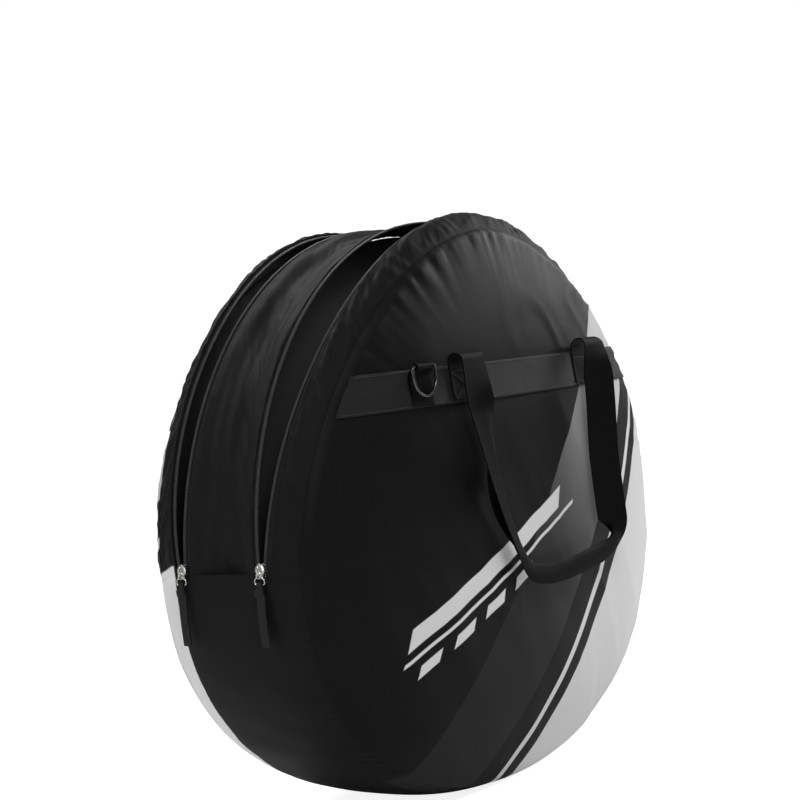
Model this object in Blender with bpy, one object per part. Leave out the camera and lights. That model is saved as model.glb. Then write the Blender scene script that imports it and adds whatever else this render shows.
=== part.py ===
# Double bike wheel bag, standing upright with both compartments unzipped.
# Front face towards -Y, zips start at -X. Origin at the centre of the base.
import math

import bpy
from mathutils import Vector

# Driving sizes of the bag, in metres
PANEL_HALF_WIDTH = 0.345
FOLD_HEIGHT = 0.280
TOP_SHORTFALL = 0.011
PANEL_TOP_RISE = PANEL_HALF_WIDTH - TOP_SHORTFALL
PANEL_FOOT_DROP = 0.277
EDGE_DEPTH = 0.095
EDGE_DEPTH_TOP = 0.120
CENTRE_DEPTH = 0.152
FLAP_FOLD_HEIGHT = 0.204
PANEL_WALL = 0.004
PANEL_ARCH_POWER = 1.8
PANEL_FOOT_POWER = 2.15

# The zips run on one circle, so that a slider travels on it
ZIP_OVERHANG = 0.010
ZIP_RADIUS = PANEL_HALF_WIDTH + ZIP_OVERHANG
ZIP_CENTRE_DROP = 0.005
ZIP_CENTRE_HEIGHT = FOLD_HEIGHT - ZIP_CENTRE_DROP
ZIP_DEPTH = 0.052
ZIP_TOP_DEPTH = 0.088
ZIP_INNER_TOP_DEPTH = 0.0425
ZIP_SHOULDER_DIP = 0.011
ZIP_OPENING_POWER = 0.8
ZIP_END_HALF_GAP = 0.0026
COIL_RADIUS = 0.0015
TAPE_WIDTH = 0.008
TAPE_WALL = 0.0012

# Gussets and divider
GUSSET_WALL = 0.002
GUSSET_CROWN = 0.0135
GUSSET_CROWN_POWER = 3.0
STRIP_BULGE = 0.008
CENTRE_FURROW = 0.010
DIVIDER_WALL = 0.005
HUB_GUARD_RADIUS = 0.048
HUB_GUARD_WALL = 0.0012
HUB_HEIGHT = 0.335

# Clearances between touching pieces
SEAM_GAP = 0.0003
FOLD_GAP = 0.0006
SKIN_GAP = 0.0007
TAPE_GAP = 0.0008
RUN_GAP = 0.0004

# Webbing, handles and rings
WEBBING_WIDTH = 0.040
WEBBING_WALL = 0.0015
BAND_HEIGHT = 0.448
BAND_END_SHARE = 0.975
HANDLE_HALF_SPAN = 0.127
HANDLE_SHIFT = 0.012
HANDLE_DROP = 0.252
HANDLE_PIVOT_RISE = 0.024
HANDLE_ROLL_RADIUS = 0.0060
HANDLE_STAND_OFF = 0.012
GRIP_WIDTH = 0.019
GRIP_WALL = 0.0045
ANCHOR_LENGTH = 0.036
RING_WIRE_RADIUS = 0.0018
RING_HALF_WIDTH = 0.022
RING_DROP = 0.034
RING_SHIFT = -0.181
RING_BAR_RISE = 0.022
RING_TAB_WIDTH = 0.030
RING_TAB_WALL = 0.0014

# Slider, pull ring and pull tag
SLIDER_LENGTH = 0.014
SLIDER_WIDTH = 0.012
SLIDER_NECK_WIDTH = 0.0072
SLIDER_PLATE = 0.0012
SLIDER_SLOT = 0.0040
SLIDER_POST_WIDTH = 0.0016
SLIDER_POST_LENGTH = 0.005
SLIDER_RISE = 0.0084
SLIDER_HEIGHT = FOLD_HEIGHT + SLIDER_RISE
BRIDGE_WIRE_RADIUS = 0.0008
BRIDGE_RISE = 0.0034
BRIDGE_LENGTH = 0.009
PULL_WIRE_RADIUS = 0.0007
PULL_HALF_WIDTH = 0.0062
PULL_NECK_HALF_WIDTH = 0.0034
PULL_NECK_LENGTH = 0.0040
PULL_SHOULDER = 0.0026
PULL_BEND = 0.0022
PULL_LENGTH = 0.0125
PULL_HANG_SHARE = 0.25
TAG_WIDTH = 0.010
TAG_WALL = 0.0016
TAG_LENGTH = 0.062
TAG_LOOP_WALL = 0.0011
TAG_LOOP_WIDTH = 0.0062

# Numbers of steps
ARCH_STEPS = 40
PANEL_RING_SHARES = (1.0, 0.9, 0.75, 0.5, 0.25)
STRIP_STEPS = 4
GUSSET_STATION_SHARES = (-1.0, -0.88, -0.6, 0.0, 0.6, 0.88, 1.0)
GUARD_STEPS = 20
GUARD_RING_SHARES = (1.0, 0.5)

# The handle's path in shares of the half span and of the drop, left end to right end
HANDLE_PATH_SHARES = (
    (-1.00, 0.00), (-0.985, 0.17), (-0.945, 0.34), (-0.89, 0.53), (-0.815, 0.69), (-0.70, 0.83),
    (-0.56, 0.92), (-0.31, 0.955), (0.02, 0.96), (0.37, 0.945), (0.64, 0.93), (0.86, 0.895),
    (0.97, 0.82), (0.975, 0.70), (0.98, 0.53), (1.00, 0.345), (1.005, 0.18), (1.00, 0.00),
)
GRIP_START_SHARE = 0.215
GRIP_END_SHARE = 0.69
FOLD_IN_SHARE = 0.14
FOLD_OUT_SHARE = 0.045
CURL_DEGREES = 42

BLACK_CLOTH = (0.012, 0.012, 0.013)
LINING_GREY = (0.030, 0.030, 0.032)
WEBBING_BLACK = (0.016, 0.016, 0.017)
TAPE_BLACK = (0.014, 0.014, 0.015)
COIL_GREY = (0.22, 0.22, 0.23)
NICKEL = (0.62, 0.61, 0.59)
DARK_STEEL = (0.10, 0.10, 0.105)
GUARD_BLACK = (0.020, 0.020, 0.022)


def clear_scene():
    for item in list(bpy.data.objects):
        bpy.data.objects.remove(item, do_unlink=True)


def make_material(name, colour, roughness, metallic=0.0):
    material = bpy.data.materials.new(name)
    material.use_nodes = True
    shader = material.node_tree.nodes["Principled BSDF"]
    shader.inputs["Base Color"].default_value = (*colour, 1.0)
    shader.inputs["Roughness"].default_value = roughness
    shader.inputs["Metallic"].default_value = metallic
    return material


def link_object(name, data, material):
    item = bpy.data.objects.new(name, data)
    bpy.context.scene.collection.objects.link(item)
    data.materials.append(material)
    return item


def smooth_mesh(mesh, angle=math.radians(40)):
    mesh.shade_smooth()
    mesh.set_sharp_from_angle(angle=angle)


def sheet(name, rows, wall, material, offset=0.0):
    """A sewn sheet through rows of points, with its wall from Solidify."""
    columns = len(rows[0])
    points = [tuple(point) for row in rows for point in row]
    faces = []
    for i in range(len(rows) - 1):
        near, far = i * columns, (i + 1) * columns
        for j in range(columns - 1):
            faces.append((near + j, near + j + 1, far + j + 1, far + j))
    mesh = bpy.data.meshes.new(name)
    mesh.from_pydata(points, [], faces)
    mesh.update()
    smooth_mesh(mesh)
    item = link_object(name, mesh, material)
    add_wall(item, wall, offset)
    return item


def add_wall(item, wall, offset):
    solid = item.modifiers.new("wall", "SOLIDIFY")
    solid.thickness = wall
    solid.offset = offset
    solid.use_even_offset = False


def wire(name, points, radius, material, closed=False, resolution=1):
    """A round wire or coil bead along points, with filled ends."""
    curve = bpy.data.curves.new(name, "CURVE")
    curve.dimensions = "3D"
    curve.bevel_depth = radius
    curve.bevel_resolution = resolution
    curve.use_fill_caps = not closed
    spline = curve.splines.new("POLY")
    spline.points.add(len(points) - 1)
    for target, point in zip(spline.points, points):
        target.co = (*point, 1.0)
    spline.use_cyclic_u = closed
    spline.use_smooth = True
    return link_object(name, curve, material)


def as_mesh(item):
    """Turns a curve object into a mesh object of the same name."""
    name, curve = item.name, item.data
    mesh = bpy.data.meshes.new_from_object(item)
    bpy.data.objects.remove(item, do_unlink=True)
    bpy.data.curves.remove(curve)
    made = bpy.data.objects.new(name, mesh)
    bpy.context.scene.collection.objects.link(made)
    return made


def prism(name, outline, low, high, axis, material):
    """An outline extruded along one axis, from low to high."""
    count = len(outline)

    def place(pair, level):
        spots = {"X": (level, pair[0], pair[1]), "Y": (pair[0], level, pair[1]), "Z": (pair[0], pair[1], level)}
        return spots[axis]

    points = [place(pair, low) for pair in outline] + [place(pair, high) for pair in outline]
    faces = [tuple(range(count)), tuple(range(2 * count - 1, count - 1, -1))]
    for i in range(count):
        j = (i + 1) % count
        faces.append((i, i + count, j + count, j))
    mesh = bpy.data.meshes.new(name)
    mesh.from_pydata(points, [], faces)
    make_outward(mesh)
    smooth_mesh(mesh)
    return link_object(name, mesh, material)


def make_outward(mesh):
    """Turns a closed mesh right side out by the sign of its volume."""
    mesh.update()
    mesh.calc_loop_triangles()
    volume = sum(
        mesh.vertices[t.vertices[0]].co.dot(mesh.vertices[t.vertices[1]].co.cross(mesh.vertices[t.vertices[2]].co))
        for t in mesh.loop_triangles
    )
    if volume < 0:
        mesh.flip_normals()
        mesh.update()


def join_into(item, tool, operation="UNION"):
    """Joins or cuts item with a hidden tool object."""
    tool.hide_render = True
    tool.display_type = "WIRE"
    step = item.modifiers.new(tool.name, "BOOLEAN")
    step.operation = operation
    step.object = tool
    step.solver = "EXACT"


def arc(centre, radius, start, end, steps):
    spots = []
    for i in range(steps + 1):
        angle = start + (end - start) * i / steps
        spots.append((centre[0] + radius * math.cos(angle), centre[1] + radius * math.sin(angle)))
    return spots


# The curves that the sewn pieces share. An angle of 0 is at +X, 90 degrees at the top.

def signed_power(value, power):
    return math.copysign(abs(value) ** power, value)


def panel_edge(angle):
    """X and Z of the panel's outline."""
    upper = math.sin(angle) >= 0
    power = PANEL_ARCH_POWER if upper else PANEL_FOOT_POWER
    reach = PANEL_TOP_RISE if upper else PANEL_FOOT_DROP
    x = PANEL_HALF_WIDTH * signed_power(math.cos(angle), 2 / power)
    z = FOLD_HEIGHT + reach * signed_power(math.sin(angle), 2 / power)
    return x, z


def edge_depth(angle):
    return EDGE_DEPTH + (EDGE_DEPTH_TOP - EDGE_DEPTH) * max(math.sin(angle), 0.0)


def panel_depth(x, z):
    """How far out the panel's outer face lies at X and Z."""
    rise = z - FOLD_HEIGHT
    upper = rise >= 0
    power = PANEL_ARCH_POWER if upper else PANEL_FOOT_POWER
    reach = PANEL_TOP_RISE if upper else PANEL_FOOT_DROP
    across = (abs(x) / PANEL_HALF_WIDTH) ** power
    along = (abs(rise) / reach) ** power
    share = (across + along) ** (1 / power)
    lift = math.sqrt(along / (across + along)) if upper and along > 0 else 0.0
    edge = EDGE_DEPTH + (EDGE_DEPTH_TOP - EDGE_DEPTH) * lift
    return CENTRE_DEPTH - (CENTRE_DEPTH - edge) * share ** 3


def zip_turn(angle):
    """The zip's own angle, from one end of the zip to the other as angle runs from 0 to 180 degrees."""
    end = math.asin((FOLD_HEIGHT + SEAM_GAP - ZIP_CENTRE_HEIGHT) / ZIP_RADIUS)
    return end + (math.pi - 2 * end) * angle / math.pi


def zip_edge(angle, side, outer):
    """The coil's middle line. The outer half is on the flap, the inner one on the centre gusset."""
    turn = zip_turn(angle)
    opening = max(math.sin(angle), 0.0) ** ZIP_OPENING_POWER
    if outer:
        radius = ZIP_RADIUS - ZIP_SHOULDER_DIP * math.sin(2 * angle) ** 2
        start, top = ZIP_DEPTH + ZIP_END_HALF_GAP, ZIP_TOP_DEPTH
    else:
        radius = ZIP_RADIUS
        start, top = ZIP_DEPTH - ZIP_END_HALF_GAP, ZIP_INNER_TOP_DEPTH
    depth = start + (top - start) * opening
    return Vector((radius * math.cos(turn), side * depth, ZIP_CENTRE_HEIGHT + radius * math.sin(turn)))


def strip_seam(angle, side):
    """Where a flap's gusset strip starts, just behind the panel's edge."""
    x, z = panel_edge(angle)
    x -= GUSSET_WALL / 2 * math.cos(angle)
    z -= GUSSET_WALL / 2 * math.sin(angle)
    return Vector((x, side * (edge_depth(angle) - PANEL_WALL - SEAM_GAP), z + SEAM_GAP))


def strip_section(angle, side):
    """Points across a flap's gusset strip, from the panel seam to the zip tape, and the tape's two edges."""
    seam = strip_seam(angle, side)
    coil = zip_edge(angle, side, True)
    across = coil - seam
    outward = Vector((math.cos(angle), 0.0, math.sin(angle)))
    hump = STRIP_BULGE * max(math.sin(angle), 0.0)
    control = seam + across / 2 + outward * hump * 2
    inward = (control - coil).normalized()
    tape_near = coil + inward * (COIL_RADIUS + SEAM_GAP)
    tape_far = tape_near + inward * TAPE_WIDTH
    end = tape_far + inward * TAPE_GAP
    points = []
    for k in range(STRIP_STEPS + 1):
        u = k / STRIP_STEPS
        points.append(seam * (1 - u) ** 2 + control * 2 * u * (1 - u) + end * u * u)
    return points, (tape_far, tape_near)


def arch_angles():
    return [math.pi * i / ARCH_STEPS for i in range(ARCH_STEPS + 1)]


def order(rows, side):
    """Keeps a sheet's face direction the same on the front and the back."""
    return rows if side < 0 else [list(reversed(row)) for row in rows]


def domed_panel(name, side, material):
    """A whole face panel, domed over the wheels, in rings round its middle."""
    points = [(0.0, side * CENTRE_DEPTH, FOLD_HEIGHT)]
    columns = 2 * ARCH_STEPS
    for share in PANEL_RING_SHARES:
        for i in range(columns):
            x, z = panel_edge(2 * math.pi * i / columns)
            x, z = x * share, FOLD_HEIGHT + (z - FOLD_HEIGHT) * share
            points.append((x, side * panel_depth(x, z), z))
    faces = []
    rings = len(PANEL_RING_SHARES)
    for i in range(columns):
        after = (i + 1) % columns
        for r in range(rings - 1):
            near, far = 1 + r * columns, 1 + (r + 1) * columns
            faces.append((near + i, near + after, far + after, far + i))
        last = 1 + (rings - 1) * columns
        faces.append((last + i, last + after, 0))
    if side > 0:
        faces = [tuple(reversed(face)) for face in faces]
    mesh = bpy.data.meshes.new(name)
    mesh.from_pydata(points, [], faces)
    mesh.update()
    smooth_mesh(mesh)
    item = link_object(name, mesh, material)
    add_wall(item, PANEL_WALL, -1.0)
    return item


def half_panel(name, side, upper, material):
    """The part of a face panel above or below the flap's fold."""
    item = domed_panel(name, side, material)
    reach = PANEL_HALF_WIDTH + PANEL_TOP_RISE
    low = FLAP_FOLD_HEIGHT - reach if upper else FLAP_FOLD_HEIGHT - FOLD_GAP / 2
    high = FLAP_FOLD_HEIGHT + FOLD_GAP / 2 if upper else FLAP_FOLD_HEIGHT + reach
    block = [(-reach, low), (reach, low), (reach, high), (-reach, high)]
    cutter = prism(f"{name}_cutter", block, -2 * CENTRE_DEPTH, 2 * CENTRE_DEPTH, "Y", material)
    join_into(item, cutter, "DIFFERENCE")
    return item


def gusset_half_width():
    return EDGE_DEPTH - PANEL_WALL - SEAM_GAP


def gusset_crown(y):
    share = abs(y) / gusset_half_width()
    return GUSSET_CROWN * (1 - share ** GUSSET_CROWN_POWER) - GUSSET_WALL / 2


def foot_edge(angle, y, inset=0.0):
    """X and Z of the bottom gusset's middle surface at depth y, with its flat base."""
    crown = gusset_crown(y)
    spread = 2 / PANEL_FOOT_POWER
    x = (PANEL_HALF_WIDTH + crown - inset) * signed_power(math.cos(angle), spread)
    z = FOLD_HEIGHT + (PANEL_FOOT_DROP + crown - inset) * signed_power(math.sin(angle), spread)
    return x, max(z, GUSSET_WALL / 2 + inset)


def bottom_gusset(material):
    """The strip that runs under both compartments, from one zip end to the other."""
    edge = gusset_half_width()
    stations = [edge * share for share in GUSSET_STATION_SHARES]
    rows = []
    for i in range(ARCH_STEPS + 1):
        angle = math.pi * (1 + i / ARCH_STEPS)
        row = []
        for y in stations:
            x, z = foot_edge(angle, y)
            if i in (0, ARCH_STEPS):
                z = FOLD_HEIGHT
            row.append((x, y, z - SEAM_GAP))
        rows.append(row)
    low = min(point[2] for row in rows for point in row)
    rows = [[(x, y, z - low + GUSSET_WALL / 2 if z < low + SEAM_GAP else z) for x, y, z in row] for row in rows]
    return sheet("bottom_gusset", rows, GUSSET_WALL, material)


def flap_gusset(name, side, material):
    rows = [strip_section(angle, side)[0] for angle in arch_angles()]
    return sheet(name, order(rows, side), GUSSET_WALL, material)


def flap_tape(name, side, material):
    rows = [strip_section(angle, side)[1] for angle in arch_angles()]
    return sheet(name, order(rows, side), TAPE_WALL, material)


def centre_tape(name, side, material):
    rows = []
    for angle in arch_angles():
        coil = zip_edge(angle, side, False)
        near = coil - Vector((0, side * (COIL_RADIUS + SEAM_GAP), 0))
        far = near - Vector((0, side * TAPE_WIDTH, 0))
        rows.append((near, far))
    return sheet(name, order(rows, side), TAPE_WALL, material)


def coil(name, side, outer, material):
    points = [zip_edge(angle, side, outer) for angle in arch_angles()]
    lift = Vector((0, 0, SEAM_GAP))
    points[0] = points[0] + lift
    points[-1] = points[-1] + lift
    return wire(name, points, COIL_RADIUS, material)


def centre_gusset(material):
    """The strip between the two zips, drawn in along its middle where the divider is sewn to it."""
    rows = []
    shares = (-1.0, -0.6, -0.25, 0.0, 0.25, 0.6, 1.0)
    for angle in arch_angles():
        edge = zip_edge(angle, 1, False)
        half = edge.y - COIL_RADIUS - TAPE_WIDTH - SEAM_GAP - TAPE_GAP
        turn = zip_turn(angle)
        row = []
        for share in shares:
            radius = ZIP_RADIUS - furrow(share)
            row.append((radius * math.cos(turn), share * half, ZIP_CENTRE_HEIGHT + radius * math.sin(turn)))
        rows.append(row)
    rows[0] = [(x, y, FOLD_HEIGHT + SEAM_GAP) for x, y, z in rows[0]]
    rows[-1] = [(x, y, FOLD_HEIGHT + SEAM_GAP) for x, y, z in rows[-1]]
    return sheet("centre_gusset", rows, GUSSET_WALL, material)


def furrow(share):
    return CENTRE_FURROW * (1 + math.cos(math.pi * share)) / 2


def divider(material):
    """The padded board between the two wheels, inside the centre gusset and the bottom gusset."""
    inset = GUSSET_WALL / 2 + SKIN_GAP
    radius = ZIP_RADIUS - CENTRE_FURROW - inset
    outline = []
    for angle in arch_angles():
        turn = zip_turn(angle)
        outline.append((radius * math.cos(turn), ZIP_CENTRE_HEIGHT + radius * math.sin(turn)))
    for i in range(1, ARCH_STEPS):
        angle = math.pi * (1 + i / ARCH_STEPS)
        outline.append(foot_edge(angle, 0.0, inset))
    return prism("divider", outline, -DIVIDER_WALL / 2, DIVIDER_WALL / 2, "Y", material)


def hub_guard(name, face, outward, material):
    """A stiff round patch that takes the axle end."""
    last = GUARD_STEPS - 1
    disc = arc((0.0, HUB_HEIGHT), HUB_GUARD_RADIUS, 0.0, 2 * math.pi * last / GUARD_STEPS, last)
    near = face + outward * SKIN_GAP
    far = near + outward * HUB_GUARD_WALL
    return prism(name, disc, min(near, far), max(near, far), "Y", material)


def panel_guard(name, side, material):
    """A hub patch that follows the inside of a flap, in rings round its middle."""
    points, faces = [], []
    for share in GUARD_RING_SHARES:
        for i in range(GUARD_STEPS):
            angle = 2 * math.pi * i / GUARD_STEPS
            x = HUB_GUARD_RADIUS * share * math.cos(angle)
            z = HUB_HEIGHT + HUB_GUARD_RADIUS * share * math.sin(angle)
            points.append((x, side * (panel_depth(x, z) - PANEL_WALL - SKIN_GAP), z))
    points.append((0.0, side * (panel_depth(0.0, HUB_HEIGHT) - PANEL_WALL - SKIN_GAP), HUB_HEIGHT))
    last = (len(GUARD_RING_SHARES) - 1) * GUARD_STEPS
    for i in range(GUARD_STEPS):
        after = (i + 1) % GUARD_STEPS
        for near in range(0, last, GUARD_STEPS):
            far = near + GUARD_STEPS
            faces.append((near + i, near + after, far + after, far + i))
        faces.append((last + i, last + after, last + GUARD_STEPS))
    if side < 0:
        faces = [tuple(reversed(face)) for face in faces]
    mesh = bpy.data.meshes.new(name)
    mesh.from_pydata(points, [], faces)
    mesh.update()
    smooth_mesh(mesh)
    item = link_object(name, mesh, material)
    add_wall(item, HUB_GUARD_WALL, 1.0)
    return item


def band_half_length(z):
    rise = (abs(z - FOLD_HEIGHT) / PANEL_TOP_RISE) ** PANEL_ARCH_POWER
    return PANEL_HALF_WIDTH * (1 - rise) ** (1 / PANEL_ARCH_POWER) * BAND_END_SHARE


def webbing_band(name, side, material):
    """The band sewn across a flap. It carries the handle and the ring."""
    rows = []
    steps = 20
    for i in range(steps + 1):
        row = []
        for k in range(3):
            z = BAND_HEIGHT + WEBBING_WIDTH * (k - 1) / 2
            x = band_half_length(z) * (2 * i / steps - 1)
            row.append((x, side * (panel_depth(x, z) + SKIN_GAP), z))
        rows.append(row)
    rows = rows if side > 0 else list(reversed(rows))
    return sheet(name, rows, WEBBING_WALL, material, offset=1.0)


def band_face(x, z):
    """How far out the band's own outer face lies at X and Z."""
    return panel_depth(x, z) + SKIN_GAP + WEBBING_WALL


def band_reach(x_low, x_high, z_low, z_high):
    """The furthest out that the band's face comes in a rectangle: at its point nearest the fold's middle."""
    x = min(max(0.0, x_low), x_high)
    z = min(max(FOLD_HEIGHT, z_low), z_high)
    return band_face(x, z)


def loft_pair(name, outlines, stations, material):
    """A solid between two outlines of depth and height pairs, at two places along X."""
    count = len(outlines[0])
    points = [(x, y, z) for x, outline in zip(stations, outlines) for y, z in outline]
    faces = [tuple(range(count)), tuple(range(2 * count - 1, count - 1, -1))]
    for i in range(count):
        j = (i + 1) % count
        faces.append((i, i + count, j + count, j))
    mesh = bpy.data.meshes.new(name)
    mesh.from_pydata(points, [], faces)
    make_outward(mesh)
    smooth_mesh(mesh)
    return link_object(name, mesh, material)


def handle_pivot(side):
    """The line that a handle swings on: the tops of its two folded ends."""
    half, foot = WEBBING_WIDTH / 2, BAND_HEIGHT - WEBBING_WIDTH / 2
    depth = 0.0
    for end in (-1, 1):
        middle = HANDLE_SHIFT + end * HANDLE_HALF_SPAN
        depth = max(depth, band_reach(middle - half, middle + half, foot, BAND_HEIGHT))
    depth += SKIN_GAP + WEBBING_WALL + RUN_GAP + HANDLE_ROLL_RADIUS
    return Vector((0.0, side * depth, BAND_HEIGHT + HANDLE_PIVOT_RISE))


def seat_line(x, wall):
    """The sewn part of a webbing end: its back on the band, its front a wall further out."""
    levels = (BAND_HEIGHT - ANCHOR_LENGTH / 2, BAND_HEIGHT, BAND_HEIGHT + ANCHOR_LENGTH / 2)
    back = [(band_face(x, z) + SKIN_GAP, z) for z in levels]
    front = [(y + wall, z) for y, z in back]
    return back, front


def handle_anchor(name, side, end, material):
    """A webbing end sewn on the band, its top curled behind the handle's fold."""
    middle = HANDLE_SHIFT + end * HANDLE_HALF_SPAN
    pivot = handle_pivot(side)
    depth = abs(pivot.y)
    bend = HANDLE_ROLL_RADIUS + RUN_GAP
    curl = [(2 * depth - y, z) for y, z in arc((depth, pivot.z), bend, 0.0, math.radians(CURL_DEGREES), 4)]
    cover = [(2 * depth - y, z) for y, z in arc((depth, pivot.z), bend + WEBBING_WALL, math.radians(CURL_DEGREES), 0.0, 4)]
    stations = (middle - WEBBING_WIDTH / 2, middle + WEBBING_WIDTH / 2)
    outlines = []
    for x in stations:
        back, front = seat_line(x, WEBBING_WALL)
        outline = front[:2] + curl + cover + list(reversed(back))
        outlines.append([(side * y, z) for y, z in outline])
    return loft_pair(name, outlines, stations, material)


def handle_point(shares, side):
    pivot = handle_pivot(side)
    across, down = shares
    sag = HANDLE_STAND_OFF * math.sin(math.pi / 2 * min(max(down, 0.0), 1.0))
    depth = abs(pivot.y) + HANDLE_ROLL_RADIUS - WEBBING_WALL * 0.6 + sag
    return Vector((HANDLE_SHIFT + across * HANDLE_HALF_SPAN, side * depth, pivot.z - down * HANDLE_DROP))


def smooth_path(points, steps):
    """A Catmull-Rom curve through points."""
    ends = [points[0] * 2 - points[1]] + list(points) + [points[-1] * 2 - points[-2]]
    result = []
    for i in range(1, len(ends) - 2):
        a, b, c, d = ends[i - 1:i + 3]
        for k in range(steps):
            t = k / steps
            result.append((b * 2 + (c - a) * t + (a * 2 - b * 5 + c * 4 - d) * t * t
                           + (b * 3 - a - c * 3 + d) * t ** 3) / 2)
    result.append(points[-1])
    return result


def ease(value):
    value = min(max(value, 0.0), 1.0)
    return value * value * (3 - 2 * value)


def handle_strap(name, side, material):
    """One webbing loop: full width on its legs, folded lengthwise to a narrow grip."""
    path = smooth_path([handle_point(pair, side) for pair in HANDLE_PATH_SHARES], 2)
    lengths = [0.0]
    for near, far in zip(path, path[1:]):
        lengths.append(lengths[-1] + (far - near).length)
    total = lengths[-1]
    points = []
    for i, spot in enumerate(path):
        ahead = path[min(i + 1, len(path) - 1)] - path[max(i - 1, 0)]
        ahead.normalize()
        across = ahead.cross(Vector((0, 1, 0))).normalized()
        face = across.cross(ahead).normalized()
        share = lengths[i] / total
        fold = ease((share - GRIP_START_SHARE + FOLD_IN_SHARE) / FOLD_IN_SHARE)
        fold *= ease((GRIP_END_SHARE + FOLD_OUT_SHARE - share) / FOLD_OUT_SHARE)
        half = (WEBBING_WIDTH + (GRIP_WIDTH - WEBBING_WIDTH) * fold) / 2
        wall = (WEBBING_WALL + (GRIP_WALL - WEBBING_WALL) * fold) / 2
        for u, v in ((-1, -1), (1, -1), (1, 1), (-1, 1)):
            points.append(tuple(spot + across * half * u + face * wall * v))
    count = len(path)
    faces = [(0, 1, 2, 3), tuple(4 * (count - 1) + k for k in (3, 2, 1, 0))]
    for i in range(count - 1):
        for k in range(4):
            n = (k + 1) % 4
            faces.append((4 * i + k, 4 * (i + 1) + k, 4 * (i + 1) + n, 4 * i + n))
    mesh = bpy.data.meshes.new(name)
    mesh.from_pydata(points, [], faces)
    make_outward(mesh)
    smooth_mesh(mesh)
    item = link_object(name, mesh, material)
    pivot = handle_pivot(side)
    for end in (-1, 1):
        middle = HANDLE_SHIFT + end * HANDLE_HALF_SPAN
        roll = arc((pivot.y, pivot.z), HANDLE_ROLL_RADIUS, 0.0, 2 * math.pi * 11 / 12, 11)
        half = WEBBING_WIDTH / 2
        part = "left" if end < 0 else "right"
        tool = prism(f"{name}_roll_{part}", roll, middle - half, middle + half, "X", material)
        join_into(item, tool)
    move_origin(item, pivot)
    return item


def move_origin(item, spot):
    """Puts an object's origin on its joint, with its mesh where it was."""
    for vertex in item.data.vertices:
        vertex.co = vertex.co - Vector(spot)
    item.location = spot


def ring_bar(side):
    half, foot = RING_HALF_WIDTH, BAND_HEIGHT + RING_BAR_RISE - RING_DROP
    depth = band_reach(RING_SHIFT - half, RING_SHIFT + half, foot, BAND_HEIGHT)
    depth += SKIN_GAP + RING_TAB_WALL + RUN_GAP + RING_WIRE_RADIUS
    return Vector((RING_SHIFT, side * depth, BAND_HEIGHT + RING_BAR_RISE))


def steel_ring(name, side, material):
    """The D-shaped ring: a straight bar on top, and a bow that hangs below it."""
    bar = ring_bar(side)
    reach = RING_HALF_WIDTH - RING_WIRE_RADIUS
    drop = RING_DROP - 2 * RING_WIRE_RADIUS
    points = [(-reach, 0.0, 0.0), (-reach / 3, 0.0, 0.0), (reach / 3, 0.0, 0.0), (reach, 0.0, 0.0)]
    straight = drop * 0.3
    for i in range(11):
        angle = -math.pi * i / 10
        points.append((reach * math.cos(angle), 0.0, -straight + (drop - straight) * math.sin(angle)))
    item = wire(name, points, RING_WIRE_RADIUS, material, closed=True, resolution=1)
    item.location = bar
    return item


def ring_tab(name, side, material):
    """A short webbing folded over the ring's bar and sewn to the band."""
    bar = ring_bar(side)
    depth = abs(bar.y)
    inner = RING_WIRE_RADIUS + RUN_GAP
    front_end = math.radians(-35)
    cover = arc((depth, bar.z), inner + RING_TAB_WALL, math.pi, front_end, 10)
    bore = arc((depth, bar.z), inner, front_end, math.pi, 10)
    stations = (RING_SHIFT - RING_TAB_WIDTH / 2, RING_SHIFT + RING_TAB_WIDTH / 2)
    outlines = []
    for x in stations:
        back, front = seat_line(x, RING_TAB_WALL)
        outline = back[:2] + cover + bore + list(reversed(front[:2]))
        outlines.append([(side * y, z) for y, z in outline])
    return loft_pair(name, outlines, stations, material)


def slider_outline():
    """Spade shape, wide shoulders up, narrow at the closed end, as across and along pairs."""
    half, neck, length = SLIDER_WIDTH / 2, SLIDER_NECK_WIDTH / 2, SLIDER_LENGTH
    share_points = ((0.0, 0.50), (0.45, 0.47), (0.80, 0.36), (1.0, 0.16), (0.94, -0.06))
    right = [(half * a, length * b) for a, b in share_points]
    right += [(neck, -length * 0.28), (neck, -length * 0.44), (neck * 0.8, -length * 0.5)]
    left = [(-a, b) for a, b in reversed(right[1:])]
    return right + left


def slider_angle():
    return math.asin((SLIDER_HEIGHT - ZIP_CENTRE_HEIGHT) / ZIP_RADIUS)


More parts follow.
